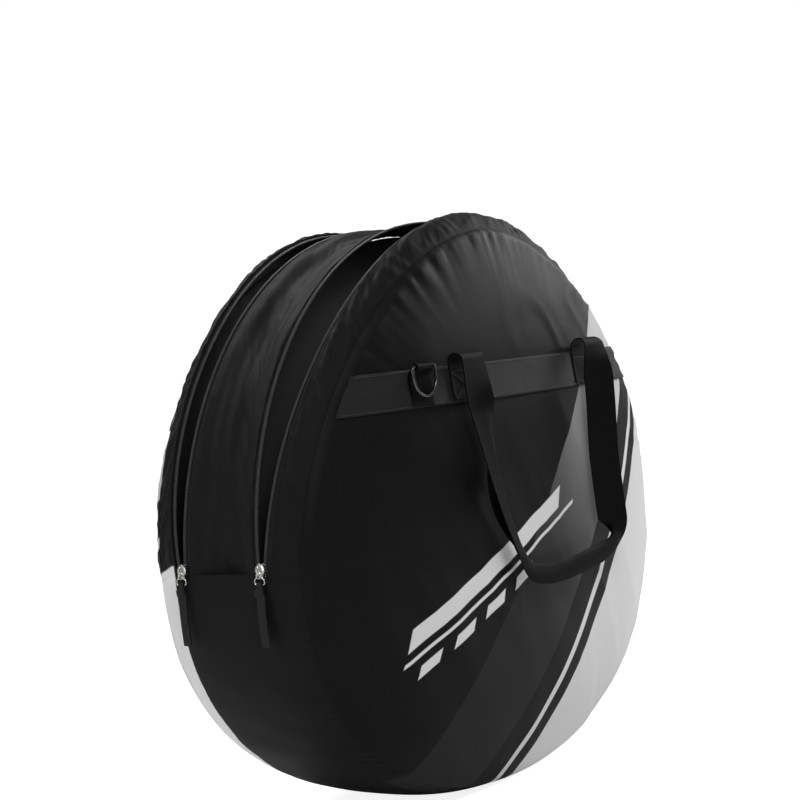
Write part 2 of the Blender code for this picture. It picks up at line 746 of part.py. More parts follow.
def slider_piece(name, side, material):
    """Two plates and a wedge round the coils, with a bridge for the pull."""
    shape = [(side * ZIP_DEPTH + a, b) for a, b in slider_outline()]
    near = ZIP_RADIUS + SLIDER_SLOT / 2
    item = prism(name, shape, -near - SLIDER_PLATE, -near, "X", material)
    inner = ZIP_RADIUS - SLIDER_SLOT / 2
    lower = prism(f"{name}_lower_plate", shape, -inner, -inner + SLIDER_PLATE, "X", material)
    half, reach = SLIDER_POST_WIDTH / 2, SLIDER_POST_LENGTH / 2
    rise = SLIDER_LENGTH * 0.2
    post = [(side * ZIP_DEPTH + a * half, rise + b * reach) for a, b in ((-1, -1), (1, -1), (1, 1), (-1, 1))]
    sunk = SLIDER_PLATE / 2
    wedge = prism(f"{name}_wedge", post, -near - sunk, -inner + sunk, "X", material)
    bow = []
    for i in range(9):
        angle = math.pi * i / 8
        rise = (BRIDGE_RISE + sunk) * math.sin(angle) ** 0.6
        bow.append((-near - SLIDER_PLATE + sunk - rise, side * ZIP_DEPTH, BRIDGE_LENGTH / 2 * math.cos(angle)))
    bridge = as_mesh(wire(f"{name}_bridge", bow, BRIDGE_WIRE_RADIUS, material))
    for tool in (lower, wedge, bridge):
        join_into(item, tool)
    for piece in (item, lower, wedge, bridge):
        piece.location = (0.0, 0.0, ZIP_CENTRE_HEIGHT)
        piece.rotation_euler = (0.0, slider_angle(), 0.0)
    return item


def pull_pivot(side):
    """Where the pull ring hangs, under the bridge."""
    out = ZIP_RADIUS + SLIDER_SLOT / 2 + SLIDER_PLATE + RUN_GAP + PULL_WIRE_RADIUS
    along = -BRIDGE_LENGTH * PULL_HANG_SHARE
    turn = slider_angle()
    x = -out * math.cos(turn) + along * math.sin(turn)
    z = ZIP_CENTRE_HEIGHT + out * math.sin(turn) + along * math.cos(turn)
    return Vector((x, side * ZIP_DEPTH, z))


def pull_ring(name, side, material):
    """A bell-shaped wire loop: its narrow top bar is under the bridge, its wide foot holds the tag."""
    half, neck, length = PULL_HALF_WIDTH, PULL_NECK_HALF_WIDTH, PULL_LENGTH - 2 * PULL_WIRE_RADIUS
    shoulder = PULL_NECK_LENGTH + PULL_SHOULDER
    right = [(neck - PULL_BEND / 2, 0.0), (neck, -PULL_BEND / 2), (neck, -PULL_NECK_LENGTH), (half, -shoulder)]
    right += arc((half - PULL_BEND, PULL_BEND - length), PULL_BEND, 0.0, -math.pi / 2, 4)
    left = [(-y, z) for y, z in reversed(right)]
    points = [(0.0, y, z) for y, z in right + left]
    item = wire(name, points, PULL_WIRE_RADIUS, material, closed=True, resolution=1)
    item.location = pull_pivot(side)
    return item


def tag_pivot(side):
    return pull_pivot(side) - Vector((0.0, 0.0, PULL_LENGTH - 2 * PULL_WIRE_RADIUS))


def pull_tag(name, side, material):
    """A woven tag, looped round the pull ring and hanging from it."""
    pivot = tag_pivot(side)
    inner = PULL_WIRE_RADIUS + RUN_GAP
    outer = inner + TAG_LOOP_WALL
    join = -outer * 1.5
    wall = TAG_WALL / 2
    outline = arc((0.0, 0.0), outer, math.radians(235), math.radians(-55), 12)
    outline += [(wall, join * 1.3), (wall, -TAG_LENGTH), (-wall, -TAG_LENGTH), (-wall, join * 1.3)]
    half = TAG_LOOP_WIDTH / 2
    loop = [pair for pair in outline]
    item = prism(name, loop, -half, half, "Y", material)
    hole = arc((0.0, 0.0), inner, 0.0, 2 * math.pi * 11 / 12, 11)
    cutter = prism(f"{name}_hole", hole, -half * 1.5, half * 1.5, "Y", material)
    half_tag = TAG_WIDTH / 2
    top = join * 2.2
    plate = [(-wall, top), (wall, top), (wall, -TAG_LENGTH), (-wall, -TAG_LENGTH)]
    blade = prism(f"{name}_blade", plate, -half_tag, half_tag, "Y", material)
    join_into(item, blade)
    join_into(item, cutter, "DIFFERENCE")
    for piece in (item, blade, cutter):
        piece.location = pivot
    return item


def build_side(label, side, skins):
    """Everything that the front and the back of the bag each have."""
    cloth, webbing, tape, teeth, nickel, steel, guard = skins
    half_panel(f"{label}_upper_panel", side, True, cloth)
    half_panel(f"{label}_lower_panel", side, False, cloth)
    flap_gusset(f"{label}_gusset_strip", side, cloth)
    flap_tape(f"{label}_outer_zip_tape", side, tape)
    centre_tape(f"{label}_inner_zip_tape", side, tape)
    coil(f"{label}_outer_zip_coil", side, True, teeth)
    coil(f"{label}_inner_zip_coil", side, False, teeth)
    panel_guard(f"{label}_panel_hub_guard", side, guard)
    hub_guard(f"{label}_divider_hub_guard", side * DIVIDER_WALL / 2, side, guard)
    webbing_band(f"{label}_webbing_band", side, webbing)
    for end, part in ((-1, "left"), (1, "right")):
        handle_anchor(f"{label}_handle_anchor_{part}", side, end, webbing)
    handle_strap(f"{label}_handle_strap", side, webbing)
    steel_ring(f"{label}_d_ring", side, steel)
    ring_tab(f"{label}_d_ring_tab", side, webbing)
    slider_piece(f"{label}_zip_slider", side, nickel)
    pull_ring(f"{label}_pull_ring", side, nickel)
    pull_tag(f"{label}_pull_tag", side, tape)


def build_bag():
    clear_scene()
    cloth = make_material("black_cloth", BLACK_CLOTH, 0.75)
    lining = make_material("lining", LINING_GREY, 0.8)
    webbing = make_material("webbing", WEBBING_BLACK, 0.7)
    tape = make_material("zip_tape", TAPE_BLACK, 0.8)
    teeth = make_material("zip_coil", COIL_GREY, 0.4)
    nickel = make_material("nickel", NICKEL, 0.25, 1.0)
    steel = make_material("dark_steel", DARK_STEEL, 0.35, 1.0)
    guard = make_material("hub_guard", GUARD_BLACK, 0.5)
    centre_gusset(cloth)
    bottom_gusset(cloth)
    divider(lining)
    skins = (cloth, webbing, tape, teeth, nickel, steel, guard)
    build_side("front", -1, skins)
    build_side("back", 1, skins)


build_bag()
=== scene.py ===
from math import asin, atan2, copysign, cos, exp, hypot, pi, radians, sin, sqrt

import bpy
import numpy as np
from mathutils import Matrix, Vector, noise


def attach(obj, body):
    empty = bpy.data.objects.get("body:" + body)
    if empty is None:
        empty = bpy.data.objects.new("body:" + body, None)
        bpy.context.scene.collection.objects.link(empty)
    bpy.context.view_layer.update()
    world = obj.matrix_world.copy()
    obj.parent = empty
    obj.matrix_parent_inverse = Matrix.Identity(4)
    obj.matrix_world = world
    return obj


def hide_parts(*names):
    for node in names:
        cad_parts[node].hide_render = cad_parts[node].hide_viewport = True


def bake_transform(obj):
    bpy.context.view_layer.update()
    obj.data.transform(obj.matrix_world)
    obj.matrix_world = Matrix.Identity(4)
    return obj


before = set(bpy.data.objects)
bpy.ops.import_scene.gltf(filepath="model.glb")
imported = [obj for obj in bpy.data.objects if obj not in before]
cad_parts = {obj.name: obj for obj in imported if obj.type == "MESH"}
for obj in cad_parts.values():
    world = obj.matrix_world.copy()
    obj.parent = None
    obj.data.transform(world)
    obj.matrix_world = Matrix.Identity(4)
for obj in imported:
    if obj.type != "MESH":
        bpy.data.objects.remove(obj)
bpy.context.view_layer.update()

# Sizes that the frame is built on, in metres, as in the part's source
PANEL_HALF_WIDTH = 0.345
FOLD_HEIGHT = 0.280
PANEL_TOP_RISE = 0.334
PANEL_FOOT_DROP = 0.277
EDGE_DEPTH = 0.095
EDGE_DEPTH_TOP = 0.120
CENTRE_DEPTH = 0.152
PANEL_WALL = 0.004
PANEL_ARCH_POWER = 1.8
PANEL_FOOT_POWER = 2.15
ZIP_RADIUS = 0.355
ZIP_CENTRE_HEIGHT = 0.275
ZIP_DEPTH = 0.052
ZIP_TOP_DEPTH = 0.088
ZIP_INNER_TOP_DEPTH = 0.0425
ZIP_SHOULDER_DIP = 0.011
ZIP_OPENING_POWER = 0.8
ZIP_END_HALF_GAP = 0.0026
COIL_RADIUS = 0.0015
TAPE_WIDTH = 0.008
GUSSET_CROWN = 0.0135
GUSSET_CROWN_POWER = 3.0
STRIP_BULGE = 0.008
CENTRE_FURROW = 0.010
WEBBING_WIDTH = 0.040
WEBBING_WALL = 0.0015
SKIN_GAP = 0.0007
RUN_GAP = 0.0004
BAND_HEIGHT = 0.448
BAND_END_SHARE = 0.975
HANDLE_HALF_SPAN = 0.127
HANDLE_SHIFT = 0.012
HANDLE_DROP = 0.252
HANDLE_PIVOT_RISE = 0.024
HANDLE_ROLL_RADIUS = 0.0060
HANDLE_STAND_OFF = 0.012
RING_SHIFT = -0.181
RING_BAR_RISE = 0.022
FLAP_FOLD_HEIGHT = 0.204
BASE_TUCK = 0.004
SLIDER_LENGTH = 0.014
SLIDER_WIDTH = 0.012
SLIDER_NECK_WIDTH = 0.0072
SLIDER_PLATE = 0.0012
SLIDER_SLOT = 0.0040
SLIDER_HEIGHT = 0.2884
BRIDGE_LENGTH = 0.009
BRIDGE_RISE = 0.0034
PULL_LENGTH = 0.0125
PULL_WIRE_RADIUS = 0.0007
TAG_WIDTH = 0.010
TAG_LENGTH = 0.062
HUB_HEIGHT = 0.335
HUB_GUARD_RADIUS = 0.048
RING_HALF_WIDTH = 0.022
RING_HEIGHT = 0.034
RING_TAB_WIDTH = 0.030
RING_TAB_WALL = 0.0014
RING_WIRE_RADIUS = 0.0018
SIDES = (("front", -1), ("back", 1))

# Width and length of the strips as they are cut
GATHERED_FLAT = (0.042, 1.05)
BASE_FLAT = (0.092, 1.15)

# Sizes, steps and shapes that only the visible pieces have
CLOTH_WALL = 0.0014
SEAM_INSET = 0.0030
TAPE_WALL = 0.0008
HEM_WIDTH = 0.004
HEM_RISE = 0.0009
HEM_STEP = 0.0006
HEM_SHARE = 0.55
PANEL_STEPS_ROUND = 440
PANEL_STEPS_IN = 66
STRIP_STEPS_ALONG = 560
STRIP_STEPS_ACROSS = 22
TAPE_STEPS = 420
STITCH_PITCH = 0.0036

# Small bars, ring by ring: the place along the length, and the share of the width there
STITCH_RINGS = ((-0.5, 0.35), (-0.3, 1.0), (0.3, 1.0), (0.5, 0.35))
COIL_RINGS = ((-1.0, 0.45), (-0.8, 1.0), (0.0, 0.82), (0.8, 1.0), (1.0, 0.45))
COIL_PITCH = 0.00145

# The handle. Shares of its length where it starts to fold, lies folded, starts to open and is open, and its
# way across and down, in shares of its half span and drop
SEWN_TOP = BAND_HEIGHT + 0.012
SEWN_FOOT = BAND_HEIGHT - 0.018
HANDLE_FACE_CUT = 0.0009
HANDLE_STEPS = 460
HANDLE_SEWN_STEPS = 60
HANDLE_FOLD_SHARES = (0.14, 0.335, 0.622, 0.655)
HANDLE_PATH = (
    (-1.00, 0.00), (-0.985, 0.17), (-0.945, 0.34), (-0.89, 0.53), (-0.815, 0.69), (-0.70, 0.83),
    (-0.56, 0.92), (-0.31, 0.955), (0.02, 0.96), (0.37, 0.945), (0.64, 0.93), (0.86, 0.895),
    (0.97, 0.82), (0.975, 0.70), (0.98, 0.53), (1.00, 0.345), (1.005, 0.18), (1.00, 0.00),
)

PULL_HALF_WIDTH = 0.0062
PULL_NECK_HALF_WIDTH = 0.0034
PULL_NECK_LENGTH = 0.0040
PULL_BEND = 0.0022

# The print's bars and dashes: low edge, width, start and stop, in metres along its slanting lines
PRINT_BARS = ((0.258, 0.020, -0.285, -0.060), (0.246, 0.005, -0.285, -0.030))
PRINT_DASHES = (0.226, 0.012, -0.262, -0.090)
PRINT_DASH = 0.043
PRINT_EDGE = 0.066
PRINT_BLUR = 0.0012

# Numbers that start each side's own creases
FACE_SEED = {"front": 11.3, "back": 47.9}
CENTRE_SEED = 71.3
DIVIDER_SEED = 88.1

# How many faces of a lined piece are its outer cloth, by name
LINED = {}

# The photograph's view: where the camera stands, what it aims at, its roll and lens
CAMERA_SPOT = (-1.6554, -1.1933, 0.4856)
CAMERA_AIM = (-0.0056, 0.0170, 0.4320)
CAMERA_ROLL = radians(-5.73)
CAMERA_LENS = 79.8
SENSOR_WIDTH = 36.0


# Curves that the sewn pieces share. An angle of 0 is at +X, 90 degrees at the top.

def signed_power(value, power):
    return copysign(abs(value) ** power, value)


def arch(upper):
    """Power and reach of the face's outline, above the fold's level or below it."""
    return (PANEL_ARCH_POWER, PANEL_TOP_RISE) if upper else (PANEL_FOOT_POWER, PANEL_FOOT_DROP)


def panel_edge(angle):
    power, reach = arch(sin(angle) >= 0)
    x = PANEL_HALF_WIDTH * signed_power(cos(angle), 2 / power)
    return x, FOLD_HEIGHT + reach * signed_power(sin(angle), 2 / power)


def edge_depth(angle):
    return EDGE_DEPTH + (EDGE_DEPTH_TOP - EDGE_DEPTH) * max(sin(angle), 0.0)


def edge_share(x, z):
    """How far from the fold's middle to the panel's edge a point lies, and the edge's depth there."""
    rise = z - FOLD_HEIGHT
    power, reach = arch(rise >= 0)
    across = (abs(x) / PANEL_HALF_WIDTH) ** power
    along = (abs(rise) / reach) ** power
    total = across + along
    lift = sqrt(along / total) if rise >= 0 and total > 0 else 0.0
    return total ** (1 / power), EDGE_DEPTH + (EDGE_DEPTH_TOP - EDGE_DEPTH) * lift


def panel_depth(x, z):
    share, edge = edge_share(x, z)
    return CENTRE_DEPTH - (CENTRE_DEPTH - edge) * share ** 3


def zip_turn(angle):
    end = asin((FOLD_HEIGHT - ZIP_CENTRE_HEIGHT) / ZIP_RADIUS)
    return end + (pi - 2 * end) * angle / pi


def zip_edge(angle, side, outer):
    """The coil's middle line on the flap (outer) or on the centre gusset."""
    turn = zip_turn(angle)
    opening = max(sin(angle), 0.0) ** ZIP_OPENING_POWER
    radius = ZIP_RADIUS - (ZIP_SHOULDER_DIP * sin(2 * angle) ** 2 if outer else 0.0)
    start = ZIP_DEPTH + (ZIP_END_HALF_GAP if outer else -ZIP_END_HALF_GAP)
    top = ZIP_TOP_DEPTH if outer else ZIP_INNER_TOP_DEPTH
    depth = start + (top - start) * opening
    return Vector((radius * cos(turn), side * depth, ZIP_CENTRE_HEIGHT + radius * sin(turn)))


def radial(angle):
    return Vector((cos(angle), 0.0, sin(angle)))


def clamp(value):
    return min(max(value, 0.0), 1.0)


def ease(value):
    value = clamp(value)
    return value * value * (3 - 2 * value)


def ripple(x, y, seed, sharp=False):
    """Smooth noise from -1 to 1, or sharp folds from 0 to 1."""
    value = noise.noise(Vector((x, y, seed)))
    return max(0.0, 1.0 - 2.6 * abs(value)) if sharp else value


# Mesh helpers

def deselect():
    bpy.ops.object.select_all(action="DESELECT")


def take(item):
    deselect()
    item.select_set(True)
    bpy.context.view_layer.objects.active = item


def apply_all(item):
    take(item)
    for step in list(item.modifiers):
        bpy.ops.object.modifier_apply(modifier=step.name)


def smooth(item, degrees=40):
    take(item)
    bpy.ops.object.shade_smooth_by_angle(angle=radians(degrees))


def grid(name, along, across, place, metres=(1.0, 1.0)):
    """A grid primitive whose points are laid by place(u, v). Its UV map is in metres."""
    deselect()
    bpy.ops.mesh.primitive_grid_add(x_subdivisions=along, y_subdivisions=across, size=1.0)
    item = bpy.context.object
    item.name = item.data.name = name
    mesh = item.data
    for vertex in mesh.vertices:
        vertex.co = place(vertex.co.x + 0.5, vertex.co.y + 0.5)
    uv = mesh.uv_layers.active.data
    flat = np.empty(len(uv) * 2)
    uv.foreach_get("uv", flat)
    flat = flat.reshape(-1, 2) * np.array(metres)
    uv.foreach_set("uv", flat.ravel())
    mesh.update()
    return item


def face_out(item, centre=(0.0, 0.0, 0.3)):
    """Turns an open sheet's faces away from a point inside the bag."""
    mesh = item.data
    middle = Vector(centre)
    score = sum(poly.normal.dot((poly.center - middle).normalized()) * poly.area for poly in mesh.polygons)
    if score < 0:
        mesh.flip_normals()
        mesh.update()


def thicken(item, wall, offset=-1.0, lining=False):
    step = item.modifiers.new("wall", "SOLIDIFY")
    step.thickness = wall
    step.offset = offset
    if lining:
        LINED[item.name] = len(item.data.polygons)
    apply_all(item)


def edit(item, step, **options):
    """Runs one edit-mode operator on a whole piece."""
    take(item)
    bpy.ops.object.mode_set(mode="EDIT")
    bpy.ops.mesh.select_all(action="SELECT")
    step(**options)
    bpy.ops.object.mode_set(mode="OBJECT")


def merge(item, reach=0.00002):
    edit(item, bpy.ops.mesh.remove_doubles, threshold=reach)


def outward(item):
    edit(item, bpy.ops.mesh.normals_make_consistent, inside=False)


def settle(item, body, *nodes):
    """The body that a piece rides on, and the nodes that it stands in for."""
    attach(item, body)
    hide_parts(*nodes)
    return item


def cloth(item, wall, lining=False):
    """Turns, thickens and smooths a sheet of cloth."""
    face_out(item)
    thicken(item, wall, lining=lining)
    smooth(item, 60)


def woven_strap(item, wall):
    """Thickens a looped webbing on both sides of its middle."""
    thicken(item, wall, offset=0.0)
    outward(item)
    smooth(item, 50)


def mesh_object(name, points, faces):
    mesh = bpy.data.meshes.new(name)
    mesh.from_pydata(points, [], faces)
    mesh.update()
    item = bpy.data.objects.new(name, mesh)
    bpy.context.scene.collection.objects.link(item)
    return item


def tube(name, points, radius, sides=10, closed=False, up=(0.0, 1.0, 0.0)):
    """A round tube along points, made from a grid."""
    count = len(points)
    spots = [Vector(p) for p in points]
    frames = []
    for i, spot in enumerate(spots):
        before = spots[(i - 1) % count] if closed or i > 0 else spot
        after = spots[(i + 1) % count] if closed or i < count - 1 else spot
        ahead = (after - before).normalized()
        guide = Vector(up)
        if abs(guide.dot(ahead)) > 0.97:
            guide = Vector((1.0, 0.0, 0.0))
        across = ahead.cross(guide).normalized()
        frames.append((across, across.cross(ahead)))

    def place(u, v):
        i = round(u * count) % count if closed else round(u * (count - 1))
        turn = 2 * pi * v
        across, over = frames[i]
        return spots[i] + (across * cos(turn) + over * sin(turn)) * radius

    item = grid(name, count if closed else count - 1, sides, place)
    merge(item, 0.000005)
    if not closed:
        edit(item, bpy.ops.mesh.fill_holes, sides=sides + 1)
    outward(item)
    smooth(item, 50)
    return item


def prism(name, outline, low, high, bevel=0.0):
    """An outline in Y and Z, filled, extruded along X and bevelled."""
    item = mesh_object(name, [(low, a, b) for a, b in outline], [tuple(range(len(outline)))])
    edit(item, bpy.ops.mesh.extrude_region_move, TRANSFORM_OT_translate={"value": (high - low, 0, 0)})
    outward(item)
    if bevel:
        step = item.modifiers.new("edge", "BEVEL")
        step.width = bevel
        step.segments = 3
        step.limit_method = "ANGLE"
        apply_all(item)
    smooth(item)
    return item


def join(name, items):
    deselect()
    for item in items:
        item.select_set(True)
    bpy.context.view_layer.objects.active = items[0]
    bpy.ops.object.join()
    items[0].name = items[0].data.name = name
    return items[0]


def distances(points):
    """The points as an array, and how far along the line each lies."""
    spots = np.array([tuple(p) for p in points])
    return spots, np.concatenate([[0.0], np.cumsum(np.linalg.norm(np.diff(spots, axis=0), axis=1))])


def unit(vector):
    return vector / np.linalg.norm(vector)


def repeat_along(name, sample, points, normals, pitch):
    """Copies a small sample mesh along a line: its X runs along the line, its Z along the normal."""
    spots, lengths = distances(points)
    ups = np.array([tuple(n) for n in normals])
    verts, faces = sample
    base = np.array(verts)
    all_points, all_faces = [], []
    for k in range(int(lengths[-1] / pitch)):
        s = (k + 0.5) * pitch
        i = max(min(int(np.searchsorted(lengths, s)) - 1, len(spots) - 2), 0)
        t = (s - lengths[i]) / max(lengths[i + 1] - lengths[i], 1e-9)
        centre = spots[i] * (1 - t) + spots[i + 1] * t
        ahead = unit(spots[i + 1] - spots[i])
        up = ups[i] * (1 - t) + ups[i + 1] * t
        up = unit(up - ahead * up.dot(ahead))
        placed = centre + base[:, :1] * ahead + base[:, 1:2] * np.cross(up, ahead) + base[:, 2:3] * up
        offset = len(all_points) * len(base)
        all_points.append(placed)
        all_faces.extend(tuple(v + offset for v in face) for face in faces)
    item = mesh_object(name, np.concatenate(all_points).tolist(), all_faces)
    item.data.shade_smooth()
    return item


def bar_sample(rings, length, width, height, sides=6):
    """A short bar along X. Each ring has its place along the length and its share of the width and height."""
    turns = [2 * pi * k / sides for k in range(sides)]
    points = [(length * along, width / 2 * swell * cos(turn), height / 2 * swell * sin(turn))
              for along, swell in rings for turn in turns]
    faces = []
    for r in range(len(rings) - 1):
        for k in range(sides):
            n = (k + 1) % sides
            faces.append((r * sides + k, r * sides + n, (r + 1) * sides + n, (r + 1) * sides + k))
    last = (len(rings) - 1) * sides
    return points, faces + [tuple(reversed(range(sides))), tuple(range(last, last + sides))]


# Finishes. Cloth is looked up on UV in metres, hard parts on Object coordinates.

def feed(socket, value):
    """Gives a socket its number or colour, or links it to the socket that it comes from."""
    if isinstance(value, Value):
        value = value.socket
    if isinstance(value, bpy.types.NodeSocket):
        socket.id_data.links.new(value, socket)
    else:
        socket.default_value = (*value, 1.0) if isinstance(value, tuple) else value


def node(tree, kind, feeds=None, **settings):
    """Adds a shader node with its settings. feeds holds what goes into each socket, by name or number."""
    item = tree.nodes.new("ShaderNode" + kind)
    for key, value in settings.items():
        setattr(item, key, value)
    for key, value in (feeds or {}).items():
        feed(item.inputs[key], value)
    return item


class Value:
    """A number in a node tree. Its arithmetic is laid as Math nodes."""

    def __init__(self, socket):
        self.socket = socket

    def math(self, operation, *others, clamp=False):
        feeds = dict(enumerate((self, *others)))
        return Value(node(self.socket.id_data, "Math", feeds, operation=operation, use_clamp=clamp).outputs[0])

    def __add__(self, other):
        return self.math("ADD", other)

    def __sub__(self, other):
        return self.math("SUBTRACT", other)

    def __rsub__(self, other):
        return self * -1.0 + other

    def __mul__(self, other):
        return self.math("MULTIPLY", other)

    def __truediv__(self, other):
        return self.math("DIVIDE", other)

    def __abs__(self):
        return self.math("ABSOLUTE")

    def scaled(self, factor, shift):
        return self.math("MULTIPLY_ADD", factor, shift)

    def clamped(self, factor):
        return self.math("MULTIPLY", factor, clamp=True)


def values(item, *names):
    return [Value(item.outputs[name]) for name in names]


def new_group(name, number, start, outputs):
    """A node group that takes a vector and a number, and gives masks and values."""
    tree = bpy.data.node_groups.new(name, "ShaderNodeTree")
    tree.interface.new_socket("Vector", in_out="INPUT", socket_type="NodeSocketVector")
    tree.interface.new_socket(number, in_out="INPUT", socket_type="NodeSocketFloat").default_value = start
    for label in outputs:
        tree.interface.new_socket(label, in_out="OUTPUT", socket_type="NodeSocketFloat")
    return tree, tree.nodes.new("NodeGroupInput").outputs, tree.nodes.new("NodeGroupOutput").inputs


def yarn_group(name, pitch):
    """A group for cloth, and how many yarns along and across a point lies."""
    tree, enter, leave = new_group(name, "Pitch", pitch, ("Height", "Yarn_Tone_And_Rib_Shade"))
    split = node(tree, "SeparateXYZ", {0: enter["Vector"]})
    return tree, leave, [value / enter["Pitch"] for value in values(split, 0, 1)]


def weave_group():
    """Plain weave: raised warp and weft in turn, with a slight variation per yarn."""
    tree, leave, (along, across) = yarn_group("plain_weave", 0.001)
    waves = [abs((yarns * pi).math("SINE")) for yarns in (along, across)]
    cell = node(tree, "CombineXYZ", {0: along.math("FLOOR"), 1: across.math("FLOOR")})
    grain = node(tree, "TexWhiteNoise", {"Vector": cell.outputs[0]}, noise_dimensions="2D")
    feed(leave["Height"], waves[0] * waves[1])
    feed(leave["Yarn_Tone_And_Rib_Shade"], grain.outputs["Value"])
    return tree


def webbing_group():
    """Webbing ribs: slanting picks in narrow rows, as on flat woven tape, with painted shade that darkens the grooves
    between the rows.
    """
    tree, leave, (along, across) = yarn_group("webbing_rib", 0.0018)
    picks = ((along + across.math("PINGPONG", 1.0)) * (2 * pi)).math("SINE")
    rows = abs((across * pi).math("SINE"))
    feed(leave["Height"], picks * 0.3 + rows * 0.7)
    # Painted shade: the colour follows the rows' height, darker in the grooves between the ribs.
    feed(leave["Yarn_Tone_And_Rib_Shade"], rows)
    return tree


def wear_group():
    """Broad tone changes, a fine grain and faint lint, by place on the object."""
    tree, enter, leave = new_group("wear", "Scale", 6.0, ("Tone", "Lint", "Fine"))
    place = enter["Vector"]
    broad = node(tree, "TexNoise", {"Vector": place, "Scale": enter["Scale"], "Detail": 3.0, "Roughness": 0.55})
    fine = node(tree, "TexNoise", {"Vector": place, "Scale": 420.0, "Detail": 2.0})
    lint = node(tree, "TexNoise", {"Vector": place, "Scale": 900.0, "Detail": 1.0})
    flecks = node(tree, "ValToRGB", {0: lint.outputs["Fac"]})
    for mark, start in zip(flecks.color_ramp.elements, (0.70, 0.78)):
        mark.position = start
    feed(leave["Tone"], broad.outputs["Fac"])
    feed(leave["Fine"], fine.outputs["Fac"])
    feed(leave["Lint"], flecks.outputs[0])
    return tree


# Sewn cloth

def planar_uv(item, first=0, second=2):
    """UV in metres from two axes of the mesh."""
    mesh = item.data
    if not mesh.uv_layers:
        mesh.uv_layers.new(name="UVMap")
    spots = np.empty(len(mesh.vertices) * 3)
    mesh.vertices.foreach_get("co", spots)
    loops = np.empty(len(mesh.loops), dtype=np.int32)
    mesh.loops.foreach_get("vertex_index", loops)
    flat = spots.reshape(-1, 3)[:, [first, second]][loops]
    mesh.uv_layers.active.data.foreach_set("uv", flat.ravel())


def fold_blend(item, label, side, *nodes):
    """Works out a slanting line from the face's fold to the zip's ends, but does not turn the cloth about it: it
    bakes the piece's place and hides the nodes that it stands in for.
    """
    depth = panel_depth(0.0, FLAP_FOLD_HEIGHT)
    out = FOLD_HEIGHT - FLAP_FOLD_HEIGHT
    up = depth - ZIP_DEPTH
    size = hypot(out, up)
    ahead = Vector((0.0, side * out / size, up / size))
    middle = Vector((0.0, side * depth, FLAP_FOLD_HEIGHT))
    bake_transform(item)
    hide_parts(*nodes)
    return item


def pucker(angle, gap, seed):
    """Small radial creases that the gathered seam leaves, by angle and distance from the seam."""
    lift = max(sin(angle), 0.0) ** 0.5
    place = angle * 9.0 + seed
    size = 0.35 + 0.65 * abs(ripple(place, 0.3, seed))
    wave = sin(angle * 78.0 + 3.4 * ripple(angle * 6.0, 1.7, seed) * pi)
    reach = 0.012 + 0.030 * abs(ripple(place * 1.7, 2.1, seed + 5))
    return wave * size * lift * exp(-gap / reach) * 0.0013


def panel_relief(x, z, angle, share, seed):
    """How far the face cloth stands off its smooth dome."""
    gap = (1 - share) * PANEL_HALF_WIDTH
    relief = 0.0022 * ripple(x * 4.2, z * 4.2, seed) + 0.0011 * ripple(x * 10.0, z * 9.0, seed + 3)
    sag = ripple(x * 6.0 + z * 5.0, (z - x) * 1.6, seed + 9, sharp=True)
    relief += 0.0014 * sag * ease((0.55 - z) / 0.3)
    pinched = ripple(angle * 17.0, gap * 6.0, seed + 40, sharp=True) * max(sin(angle), 0.0) ** 0.5
    relief += pucker(angle, gap, seed) + 0.0026 * pinched * exp(-gap / 0.018)
    band = abs(z - BAND_HEIGHT)
    relief -= 0.0012 * exp(-(band / 0.024) ** 2)
    load = exp(-((abs(x - HANDLE_SHIFT) - HANDLE_HALF_SPAN) / 0.05) ** 2)
    relief += 0.0012 * load * ripple(x * 30.0, z * 7.0, seed + 12) * exp(-band / 0.08)
    across, along = x * 0.86 + z * 0.51, z * 0.86 - x * 0.51
    drawn = ripple(across * 26.0 + along * 3.0, along * 9.0, seed + 21, sharp=True)
    relief += 0.0018 * drawn * exp(-((x - 0.11) / 0.10) ** 2 - ((z - 0.515) / 0.065) ** 2)
    under_handle = exp(-((x - 0.10) / 0.08) ** 2 - ((z - 0.36) / 0.07) ** 2)
    relief += 0.0022 * ripple(x * 24.0, z * 5.0, seed + 25) * under_handle
    relief += 0.0016 * ripple(across * 20.0, along * 4.0, seed + 31, sharp=True) * ease((0.50 - z) / 0.2)
    return relief * ease(gap / 0.004)


def face_panel(label, side, seed):
    """One padded face panel from edge to edge, across the line where the flap falls open."""
    def place(u, v):
        angle, share = 2 * pi * u, v
        x, z = panel_edge(angle)
        x, z = x * share, FOLD_HEIGHT + (z - FOLD_HEIGHT) * share
        roll = max(0.0, (share - 0.984) / 0.016)
        depth = panel_depth(x, z) + panel_relief(x, z, angle, share, seed) - SEAM_INSET * roll ** 2
        return Vector((x, side * depth, z))

    item = grid(f"{label}_face_panel", PANEL_STEPS_ROUND, PANEL_STEPS_IN, place)
    merge(item)
    planar_uv(item)
    cloth(item, PANEL_WALL - 0.0003, lining=True)
    return fold_blend(item, label, side, f"{label}_upper_panel", f"{label}_lower_panel")


def hem_rise(rim):
    """How far the turned hem stands up, by distance from the cloth's edge."""
    return HEM_RISE * ease(rim / HEM_STEP) * ease((HEM_WIDTH - rim) / HEM_STEP)


def near_seam(gap):
    """Share of the folds that start at a seam, by distance from it."""
    return exp(-gap / 0.018) * ease(gap / 0.003)


def strip_line(angle, side):
    """A flap strip's seam edge, control point and zip edge, as in the part's source."""
    x, z = panel_edge(angle)
    seam = Vector((x - 0.0004 * cos(angle), side * (edge_depth(angle) - SEAM_INSET), z - 0.0004 * sin(angle)))
    coil = zip_edge(angle, side, True)
    outward = radial(angle)
    control = seam + (coil - seam) / 2 + outward * STRIP_BULGE * max(sin(angle), 0.0) * 2
    inward = (control - coil).normalized()
    return seam, control, coil, inward, outward


